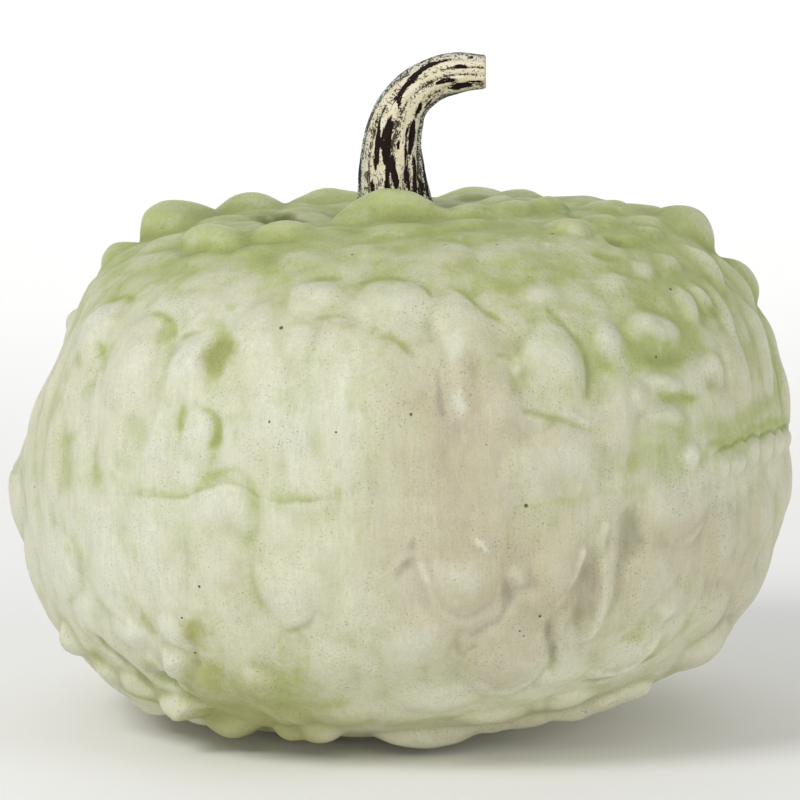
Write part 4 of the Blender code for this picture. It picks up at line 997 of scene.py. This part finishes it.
def stem():
    line, tangent, places = spline(STEM_LINE, STEM_RINGS)
    angle = 2 * math.pi * np.arange(STEM_COLUMNS) / STEM_COLUMNS
    wrapped = (angle + math.pi) % (2 * math.pi) - math.pi
    length = places[-1]
    front = np.array([0.0, -1.0, 0.0])

    def groove(turn, share):
        """How deep between two strands of the stem each point lies, from 0 to 1."""
        sway = 0.10 * np.sin(3 * turn + 5 * share) + 0.08 * np.sin(2 * turn - 9 * share)
        return 1 - np.abs(np.cos(STEM_RIBS * (turn + sway) / 2)) ** 0.7

    def ring(i, scale=1.0, push=0.0):
        along = tangent[i]
        forward = front - along * (front @ along)
        forward /= np.linalg.norm(forward)
        left = np.cross(forward, along)
        share, radius = places[i] / length, line[i, 3]
        turn = angle + STEM_TWIST * share
        ribs = 1 - STEM_RIB_DEPTH * groove(turn, share) * (1.2 - 0.6 * share)
        lengthwise = np.full_like(turn, places[i] * 0.16)
        place = np.stack([radius * np.cos(turn), radius * np.sin(turn), lengthwise], 1)
        rough = noise(place, 0.0014, 1) * 0.34 + noise(place, 0.0034, 2) * 0.45
        rough += noise(place + 0.3, 0.008, 3) * 0.3
        size = (radius * ribs + rough * MM * (0.5 + radius / (24 * MM))) * scale
        outward = np.cos(angle)[:, None] * forward + np.sin(angle)[:, None] * left
        points = line[i, :3] + along * push + size[:, None] * outward
        points[:, 1] /= DEPTH_SHARE
        return to_world(points), turn, radius

    def strokes(i, radius):
        around, at = wrapped * radius / MM, places[i] / MM
        total = np.zeros(len(angle))
        for along, across, half_length, half_width, slope, strength in STEM_STROKES:
            sway = across + slope * (at - along) + 0.35 * math.sin(at / 2.9 + across)
            far = ((at - along) / half_length) ** 2 + ((around - sway) / half_width) ** 2 * 0.85
            total = np.maximum(total, strength * np.clip(1.5 - far, 0, 1))
        return total

    rings = Rings()
    # The stem's columns turn from the front towards -X, so the bore follows the same way round.
    bore, top = DOWEL_RADIUS + 0.3 * MM, STEM_FOOT + DOWEL_ABOVE + 0.6 * MM
    for radius, height in (
        (DOWEL_RADIUS * 0.3, top),
        (bore, top - 0.4 * MM),
        (bore, STEM_FOOT + 0.4 * MM),
        (bore + 0.4 * MM, STEM_FOOT),
    ):
        rings.add(body_circle(-angle[::2], radius, height))
        if len(rings.starts) == 1:
            rings.cap(first=True)
    for i in range(STEM_RINGS):
        points, turn, radius = ring(i)
        rings.add(
            points,
            along=places[i] / MM,
            across=wrapped * radius / MM,
            groove=groove(turn, places[i] / length),
            # side grows away from the front; the stem's paint greys it there as painted shade.
            side=ease((0.80 - np.cos(angle)) / 0.55),
            stroke=strokes(i, radius),
        )
    for scale, push, skip, face in STEM_END_RINGS:
        points = ring(STEM_RINGS - 1, scale, push * MM)[0][::skip]
        rings.add(points, along=length / MM + 1, face=face)
    rings.cap()
    return rings.build("stem_skin", 60.0)


def felt_pad(name):
    """A die-cut felt disc with a soft upper edge and a slightly ragged side."""
    low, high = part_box(name)
    x, y = (low.x + high.x) / 2, (low.y + high.y) / 2
    angle = 2 * math.pi * np.arange(96) / 96
    rings = Rings()
    for out, up in PAD_PROFILE:
        place = circle(angle, 1.0, up)
        ragged = noise(place * PAD_RADIUS + x, 0.0008, 1) * 0.012 * (out > 0.9)
        size = np.minimum(PAD_RADIUS * (out + ragged), PAD_RADIUS)
        rings.add(circle(angle, size, up * PAD_THICKNESS) + np.array([x, y, 0]))
        if len(rings.starts) == 1:
            rings.cap(first=True)
    rings.cap()
    return rings.build(name + "_mesh", 80.0)


def linear(red, green, blue):
    """An sRGB colour from 0 to 255 as a linear colour with alpha."""
    channels = [value / 255 for value in (red, green, blue)]
    return [c / 12.92 if c <= 0.04045 else ((c + 0.055) / 1.055) ** 2.4 for c in channels] + [1.0]


class Value:
    """A node's output in a look. Values add, subtract and multiply into new nodes. | takes the larger."""

    def __init__(self, look, socket):
        self.look, self.socket = look, socket

    def maths(self, operation, first, second):
        node = self.look.node("ShaderNodeMath", operation=operation)
        self.look.feed(node.inputs[0], first)
        self.look.feed(node.inputs[1], second)
        return Value(self.look, node.outputs[0])

    def __add__(self, other):
        return self.maths("ADD", self, other)

    def __sub__(self, other):
        return self.maths("SUBTRACT", self, other)

    def __rsub__(self, other):
        return self.maths("SUBTRACT", other, self)

    def __mul__(self, other):
        return self.maths("MULTIPLY", self, other)

    def __or__(self, other):
        return self.maths("MAXIMUM", self, other)


class Look:
    """A material made of nodes, with short calls for the kinds of node that it needs."""

    def __init__(self, name):
        self.material = bpy.data.materials.new(name)
        self.material.use_nodes = True
        self.nodes = self.material.node_tree.nodes
        self.links = self.material.node_tree.links
        self.shader = self.nodes["Principled BSDF"]
        self.place = Value(self, self.node("ShaderNodeTexCoord").outputs["Object"])

    def node(self, kind, inputs=(), **settings):
        node = self.nodes.new(kind)
        for name, value in settings.items():
            setattr(node, name, value)
        for socket, value in dict(inputs).items():
            self.feed(node.inputs[socket], value)
        return node

    def feed(self, socket, value):
        if isinstance(value, Value):
            self.links.new(value.socket, socket)
        else:
            socket.default_value = value

    def set(self, **inputs):
        for name, value in inputs.items():
            self.feed(self.shader.inputs[name.replace("_", " ")], value)

    def mask(self, name):
        return Value(self, self.node("ShaderNodeAttribute", attribute_name=name).outputs["Fac"])

    def soft(self, value, low, high, to_low=0.0, to_high=1.0):
        """The value eased from low..high to to_low..to_high."""
        inputs = enumerate((value, low, high, to_low, to_high))
        node = self.node("ShaderNodeMapRange", inputs, interpolation_type="SMOOTHSTEP")
        return Value(self, node.outputs[0])

    def mix(self, share, first, second, kind="MIX"):
        inputs = {"Factor": share, 6: first, 7: second}
        node = self.node("ShaderNodeMix", inputs, data_type="RGBA", blend_type=kind)
        return Value(self, node.outputs[2])

    def stretched(self, x, y, z):
        node = self.node("ShaderNodeMapping", {"Scale": (x, y, z), "Vector": self.place})
        return Value(self, node.outputs[0])

    def noise(self, size, detail=2.0, roughness=0.5, place=None, distortion=0.0):
        """Noise from 0 to 1 whose features are about size metres wide."""
        inputs = {"Vector": place or self.place, "Scale": 1 / size, "Detail": detail}
        inputs |= {"Roughness": roughness, "Distortion": distortion}
        return Value(self, self.node("ShaderNodeTexNoise", inputs).outputs["Fac"])

    def cells(self, size):
        """Distance to the middle of the nearest cell, 0 at the middle."""
        inputs = {"Vector": self.place, "Scale": 1 / size}
        return Value(self, self.node("ShaderNodeTexVoronoi", inputs).outputs["Distance"])

    def near(self, point, radius, edge=0.35):
        """1 within radius metres of the point, 0 outside."""
        inputs = {0: self.place, 1: point}
        node = self.node("ShaderNodeVectorMath", inputs, operation="DISTANCE")
        distance = Value(self, node.outputs["Value"])
        return self.soft(distance, radius * (1 - edge), radius * (1 + edge), 1.0, 0.0)

    def bumps(self, *layers):
        """Bump layers as (height, depth in mm), the first the broadest."""
        normal = None
        for height, depth in layers:
            inputs = {"Strength": 1.0, "Distance": depth * MM, "Height": height}
            if normal:
                inputs["Normal"] = normal
            normal = Value(self, self.node("ShaderNodeBump", inputs).outputs["Normal"])
        self.feed(self.shader.inputs["Normal"], normal)


CREAM = linear(217, 216, 187)
WHITE = linear(230, 231, 214)
GREEN = linear(177, 188, 112)
DEEP_GREEN = linear(132, 148, 68)
OLIVE = linear(170, 170, 96)
BEIGE = linear(198, 188, 157)
SHADE_GREY = linear(162, 151, 142)
SHADE = linear(152, 158, 100)
LIT_GREEN = linear(198, 208, 144)
CRACK_AND_SHADOW_DARK = linear(88, 92, 52)
SPECK = linear(84, 88, 56)
PINHOLE = linear(52, 34, 28)
BISQUE = linear(222, 208, 186)
DULL_BISQUE = linear(206, 190, 166)
PAINTED_UNDERSIDE_LIGHT = linear(238, 234, 204)
DIM, CLEAR = linear(206, 206, 200), linear(255, 255, 255)


def paint(name, pinholes):
    """Matt-glazed ceramic with thin washes of green, olive and beige that settle in the hollows, with
    painted shade in the hollows and creases and a partly painted highlight on the high ground.
    """
    look = Look(name)
    mask, mix, soft, noise = look.mask, look.mix, look.soft, look.noise
    broad = noise(0.060, 3.0, 0.55)
    patchy = soft(noise(0.019, 4.0, 0.65, distortion=0.6), 0.30, 0.70)
    mottle = soft(noise(0.0055, 3.0, 0.65), 0.28, 0.72)
    streaky = soft(noise(0.0050, 3.0, 0.6, look.stretched(1, 1, 0.30)), 0.28, 0.72)
    clouds = noise(0.015, 3.0, 0.6, look.stretched(1.1, 0.9, 0.8))
    grain = noise(0.0009, 2.0, 0.6)
    brush = noise(0.0011, 2.0, 0.55, look.stretched(1, 1, 0.09))
    lift = patchy * 0.34 + mottle * 0.16 + streaky * 0.22 - 0.36

    def wash(amount, low, high, raggedness, most=1.0):
        """The share of a thin wash that shows, with a ragged edge."""
        return soft(amount + lift * raggedness, low, high) * most

    hollow, crest = mask("hollow"), mask("crest")
    top, beige, green, olive = mask("top"), mask("beige"), mask("green"), mask("olive")
    low_ground = hollow * 0.6 + mask("valley") * 0.5
    high_ground = crest * 0.6 + mask("hill") * 0.45
    not_beige, not_olive = 1.0 - beige * 0.9, 1.0 - olive * 0.85

    # Cream, then beige, white and green washes. The white wash is partly white paint and partly painted
    # highlights on knobs and crests.
    colour = mix(soft(broad, 0.35, 0.65, 0.0, 0.45), CREAM, WHITE)
    colour = mix(wash(beige, 0.0, 0.95, 0.8, 0.88), colour, BEIGE)
    colour = mix(wash(mask("pale"), 0.1, 1.0, 0.9, 0.7), colour, WHITE)
    thin_green = green - beige * 0.25 + low_ground * not_beige * 0.5 - high_ground * 0.22 + 0.10
    colour = mix(wash(thin_green, 0.0, 0.95, 0.85, 0.92), colour, GREEN)
    colour = mix(soft(clouds, 0.54, 0.70, 0.0, 0.30) * not_beige, colour, GREEN)
    colour = mix(soft(clouds, 0.30, 0.44, 0.26, 0.0), colour, WHITE)
    colour = mix(wash(green, 0.55, 1.25, 1.2, 0.5), colour, DEEP_GREEN)
    colour = mix(wash(olive, 0.05, 1.0, 0.9, 0.85), colour, OLIVE)
    # Painted shade from the grey strokes.
    colour = mix(wash(mask("grey"), 0.15, 1.0, 0.9, 0.5), colour, SHADE_GREY)

    # Painted shade in the hollows, valleys and creases. On the high ground, white that is partly dry-brushed
    # paint and partly a painted highlight.
    shade = mix(soft(beige, 0.2, 0.7), SHADE, SHADE_GREY)
    colour = mix(wash(low_ground, 0.25, 1.1, 0.7, 0.5), colour, shade)
    colour = mix(mask("crease") * 0.22, colour, shade)
    # White on the crests and hills is partly dry-brushed paint and partly a painted highlight. On the crown
    # the painted highlight is a lighter green.
    dry_brush_and_highlight_share = (1.0 - top * 0.9) * not_olive * soft(green, 0.3, 1.0, 1.0, 0.35)
    colour = mix(wash(high_ground * dry_brush_and_highlight_share, 0.2, 0.95, 0.8, 0.34), colour, WHITE)
    colour = mix(wash(high_ground * top, 0.2, 0.95, 0.8, 0.5), colour, LIT_GREEN)
    # Painted shadow in the valley left of the stem, with the cracks, pits and other dark spots.
    colour = mix(wash(mask("dark"), 0.1, 1.0, 0.7, 0.85), colour, CRACK_AND_SHADOW_DARK)
    colour = mix(wash(mask("seam"), 0.15, 1.0, 0.9, 0.6), colour, GREEN)
    colour = mix(wash(mask("seam_line"), 0.25, 1.0, 0.9, 0.45), colour, DEEP_GREEN)
    # Painted bounce light: the underside is lightened.
    colour = mix(mask("under") * not_olive * 0.6, colour, PAINTED_UNDERSIDE_LIGHT)

    # The fine unevenness of the brush, the glaze and its grain.
    tone = (mottle - 0.5) * 0.14 + 0.62 + (brush - 0.5) * 0.42
    tone = tone + (streaky - 0.5) * 0.14 + (grain - 0.5) * 0.55
    colour = mix(1.0, colour, mix(tone, DIM, CLEAR), "MULTIPLY")
    dotted = soft(noise(0.0007, 1.0, 0.5), 0.635, 0.70)
    where = soft(noise(0.016, 2.0, 0.6), 0.36, 0.66, 0.12, 1.0)
    colour = mix(dotted * where * 0.5, colour, SPECK)
    rare = soft(noise(0.010, 1.0, 0.5, look.stretched(1.0, 1.3, 0.9)), 0.60, 0.64)
    holes = soft(look.cells(0.0085), 0.028, 0.050, 1.0, 0.0) * rare
    for point, radius in pinholes:
        holes = holes | look.near(point, radius)
    colour = mix(holes * 0.85, colour, PINHOLE)

    inside = mask("inside")
    bare = mix(noise(0.004, 3.0, 0.6), BISQUE, DULL_BISQUE)
    colour = mix(soft(inside, 0.3, 0.9), colour, bare)
    rough = mottle * 0.08 + 0.46 + hollow * 0.10 + inside * 0.4 - crest * 0.05
    look.set(Base_Color=colour, Roughness=rough, Specular_IOR_Level=0.36)
    fine = noise(0.0016, 2.0, 0.6)
    look.bumps((noise(0.0055), 0.30), (streaky, 0.12), (brush, 0.08), (fine, 0.07), (1.0 - holes, 0.25))
    return look.material


STEM_CREAM = linear(231, 223, 199)
STEM_DARK_CREAM = linear(222, 212, 176)
STEM_PINK_CREAM = linear(238, 212, 184)
STEM_BROWN = linear(21, 7, 3)
STEM_LIGHT_BROWN = linear(34, 14, 10)
STEM_SIDE_SHADE = linear(196, 200, 186)
STEM_DARK_GREY = linear(44, 50, 48)
STEM_END, STEM_END_SPECKS = linear(208, 170, 150), linear(138, 100, 86)


def stem_paint():
    """Nearly black brown, dragged over with cream by a dry brush that skips the strokes and the grooves."""
    look = Look("painted_stem")
    mask, mix, soft, noise = look.mask, look.mix, look.soft, look.noise
    groove, side, along = mask("groove"), mask("side"), mask("along")
    place = {0: along * 0.22, 1: mask("across"), 2: groove * 0.3}
    skin = Value(look, look.node("ShaderNodeCombineXYZ", place).outputs[0])
    ragged = soft(noise(1.6, 3.0, 0.65, skin), 0.25, 0.75)
    torn = noise(0.6, 3.0, 0.7, skin, 0.3) - 0.5
    specks = noise(0.00075, 2.0, 0.65)
    clumps = noise(0.0042, 2.0, 0.6)

    bare = mask("stroke") + (ragged - 0.5) * 0.75 + torn * 1.9 + (specks - 0.5) * 1.2 + groove * 0.22
    bare = soft(bare, 0.44, 0.52)
    low = groove * 0.36 + torn * 1.3 + (clumps - 0.5) * 0.9 + soft(along, 10.0, 55.0, 0.16, 0.0)
    low = soft(low, 0.34, 0.42)
    flecks = soft(specks + (clumps - 0.5) * 0.45 + side * 0.13 + groove * 0.17, 0.63, 0.665)
    dark = bare | low * 0.92 | flecks * 0.9

    cream = mix(soft(ragged, 0.3, 0.8), STEM_CREAM, STEM_DARK_CREAM)
    cream = mix(soft(clumps, 0.5, 0.75, 0.0, 0.6), cream, STEM_PINK_CREAM)
    # Painted shade: the stem greys towards its sides, away from the front.
    cream = mix(side * 0.85, cream, STEM_SIDE_SHADE)
    brown = mix(soft(specks, 0.4, 0.7), STEM_BROWN, STEM_LIGHT_BROWN)
    brown = mix(side * flecks * 0.6, brown, STEM_DARK_GREY)
    colour = mix(dark, cream, brown)
    end = mix(soft(specks, 0.45, 0.6), STEM_END, STEM_END_SPECKS)
    colour = mix(soft(mask("face"), 0.02, 0.12), colour, end)
    look.set(Base_Color=colour, Roughness=dark * 0.05 + 0.58, Specular_IOR_Level=0.16)
    look.bumps((noise(0.9, 2.0, 0.6, skin), 0.25), (specks, 0.12), (1.0 - dark, 0.22))
    return look.material


def slip():
    """Bare cast slip, rubbed smooth with a wet finger."""
    look = Look("bare_slip")
    colour = look.mix(look.noise(0.006, 3.0, 0.6), linear(226, 214, 194), linear(202, 186, 160))
    look.set(Base_Color=colour, Roughness=look.soft(look.noise(0.003), 0.3, 0.7, 0.65, 0.85))
    look.bumps((look.noise(0.004, 3.0, 0.5), 0.3), (look.noise(0.0008, 2.0, 0.6), 0.06))
    return look.material


def birch():
    """Turned birch with its grain along the dowel."""
    look = Look("birch")
    grain = look.noise(0.0014, 4.0, 0.6, look.stretched(1, 1, 0.06), 0.6)
    colour = look.mix(look.soft(grain, 0.3, 0.7), linear(222, 190, 140), linear(182, 142, 92))
    fleck = look.soft(look.noise(0.0009, 1.0, 0.5, look.stretched(1, 1, 0.2)), 0.66, 0.72)
    colour = look.mix(fleck * 0.5, colour, linear(120, 84, 52))
    look.set(Base_Color=colour, Roughness=look.soft(grain, 0.3, 0.7, 0.5, 0.7))
    look.bumps((grain, 0.08))
    return look.material


def adhesive():
    """Set clear adhesive, slightly yellow, with small bubbles."""
    look = Look("clear_adhesive")
    uneven = look.noise(0.003)
    bubbles = look.soft(look.cells(0.0016), 0.18, 0.28, 1.0, 0.0)
    colour = look.mix(bubbles * 0.5, linear(226, 208, 160), linear(246, 240, 220))
    rough = look.soft(uneven, 0.3, 0.7, 0.14, 0.3)
    look.set(Base_Color=colour, Roughness=rough, Transmission_Weight=0.35)
    look.bumps((uneven, 0.15), (bubbles, 0.1))
    return look.material


def felt():
    """Dark needle felt, matted from short fibres."""
    look = Look("felt")
    matted = look.noise(0.0009, 4.0, 0.7, distortion=1.5)
    fibres = look.noise(0.00035, 3.0, 0.7, look.stretched(1, 0.35, 1), 2.0)
    colour = look.mix(look.soft(matted, 0.3, 0.7), linear(44, 40, 38), linear(74, 68, 62))
    colour = look.mix(look.soft(fibres, 0.6, 0.75) * 0.5, colour, linear(118, 110, 100))
    look.set(Base_Color=colour, Roughness=0.95, Sheen_Weight=0.4, Sheen_Roughness=0.6)
    look.bumps((matted, 0.25), (fibres, 0.12))
    return look.material


def add_object(name, data):
    added = bpy.data.objects.new(name, data)
    bpy.context.scene.collection.objects.link(added)
    return added


def add_piece(name, mesh, look, node):
    piece = add_object(name, mesh)
    mesh.materials.append(look)
    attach(piece, "root")
    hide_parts(node)


def repaint(node, look):
    """Gives a CAD node that stays in view its finish."""
    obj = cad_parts[node]
    if obj.material_slots:
        for slot in obj.material_slots:
            slot.material = look
    else:
        obj.data.materials.append(look)


def surface_spot(grid, longitude, latitude):
    lon, lat = np.array([math.radians(longitude)]), np.array([math.radians(latitude)])
    radius = base_radius(lat) + grid.sample(grid.rise, lon, lat)
    return [float(v) for v in to_world(direction(lon, lat) * radius[:, None])[0]]


def build_pieces():
    grid = build_surface()
    for half, shell in (("upper", upper_shell), ("lower", lower_shell)):
        pinholes = [
            (surface_spot(grid, lon, lat), size * MM)
            for lon, lat, size in PINHOLES
            if (lat > SEAM_LATITUDE) == (half == "upper")
        ]
        slot = f"painted_ceramic_{half}"
        add_piece(f"{half}_skin", shell(grid), paint(slot, pinholes), f"{half}_shell")
    add_piece("stem_skin", stem(), stem_paint(), "stem")
    felt_look = felt()
    for i in range(1, 5):
        add_piece(f"pad_{i}", felt_pad(f"felt_pad_{i}"), felt_look, f"felt_pad_{i}")
    for node, look in (("seam_bead", slip), ("stem_dowel", birch), ("stem_adhesive", adhesive)):
        repaint(node, look())


def area_light(name, place, target, size, power):
    data = bpy.data.lights.new(name, "AREA")
    data.shape = "RECTANGLE"
    data.size, data.size_y = size
    data.energy = power
    light = add_object(name, data)
    light.location = place
    light.rotation_euler = (Vector(target) - Vector(place)).to_track_quat("-Z", "Y").to_euler()
    light.visible_camera = False


def backdrop():
    """A pale floor that curves up into a wall far behind the object."""
    front, bend, back, high, half, steps = -4.0, 2.0, 4.0, 5.0, 6.0, 16
    profile = [(front, 0.0), (back - bend, 0.0)]
    for i in range(1, steps + 1):
        turn = math.pi / 2 * i / steps
        profile.append((back - bend + bend * math.sin(turn), bend - bend * math.cos(turn)))
    profile.append((back, high))
    points = [(x, y, z) for y, z in profile for x in (-half, half)]
    faces = [(2 * i, 2 * i + 1, 2 * i + 3, 2 * i + 2) for i in range(len(profile) - 1)]
    mesh = bpy.data.meshes.new("backdrop")
    mesh.from_pydata(points, [], faces)
    mesh.shade_smooth()
    return mesh


def build_stage():
    mesh = backdrop()
    floor = add_object("floor", mesh)
    look = Look("pale_floor")
    colour = look.mix(look.noise(0.8), linear(244, 244, 243), linear(248, 248, 247))
    look.set(Base_Color=colour, Roughness=0.9, Specular_IOR_Level=0.1)
    mesh.materials.append(look.material)

    world = bpy.data.worlds.new("studio")
    bpy.context.scene.world = world
    world.use_nodes = True
    background = world.node_tree.nodes["Background"]
    background.inputs["Color"].default_value = (1.0, 1.0, 1.0, 1.0)
    background.inputs["Strength"].default_value = 0.40

    middle = (0, 0, 0.10)
    area_light("key", (-1.15, -1.0, 1.35), middle, (0.75, 0.75), 18.4)
    area_light("fill", (1.6, -0.8, 0.55), middle, (0.9, 1.0), 8.4)
    area_light("low", (-0.3, -1.5, 0.07), (0, 0, 0.03), (2.2, 0.14), 4.4)
    area_light("wall", (0, 1.2, 2.6), (0, 3.6, 1.0), (3.0, 0.6), 60.0)
    view = bpy.context.scene.view_settings
    view.view_transform, view.look, view.exposure = "Standard", "None", 0.0


def build_camera():
    elevation, distance, frame_width = math.radians(7.0), 1.6, 0.30616
    aim_above_centre = 0.0258
    data = bpy.data.cameras.new("camera")
    camera = add_object("camera", data)
    offset = Vector((0, -math.cos(elevation), math.sin(elevation))) * distance
    camera.location = Vector((0, 0, CENTRE_HEIGHT + aim_above_centre)) + offset
    camera.rotation_euler = (-offset).to_track_quat("-Z", "Y").to_euler()
    data.lens = data.sensor_width * distance / frame_width
    data.clip_start, data.clip_end = 0.05, 30.0
    bpy.context.scene.camera = camera


build_pieces()
build_stage()
build_camera()
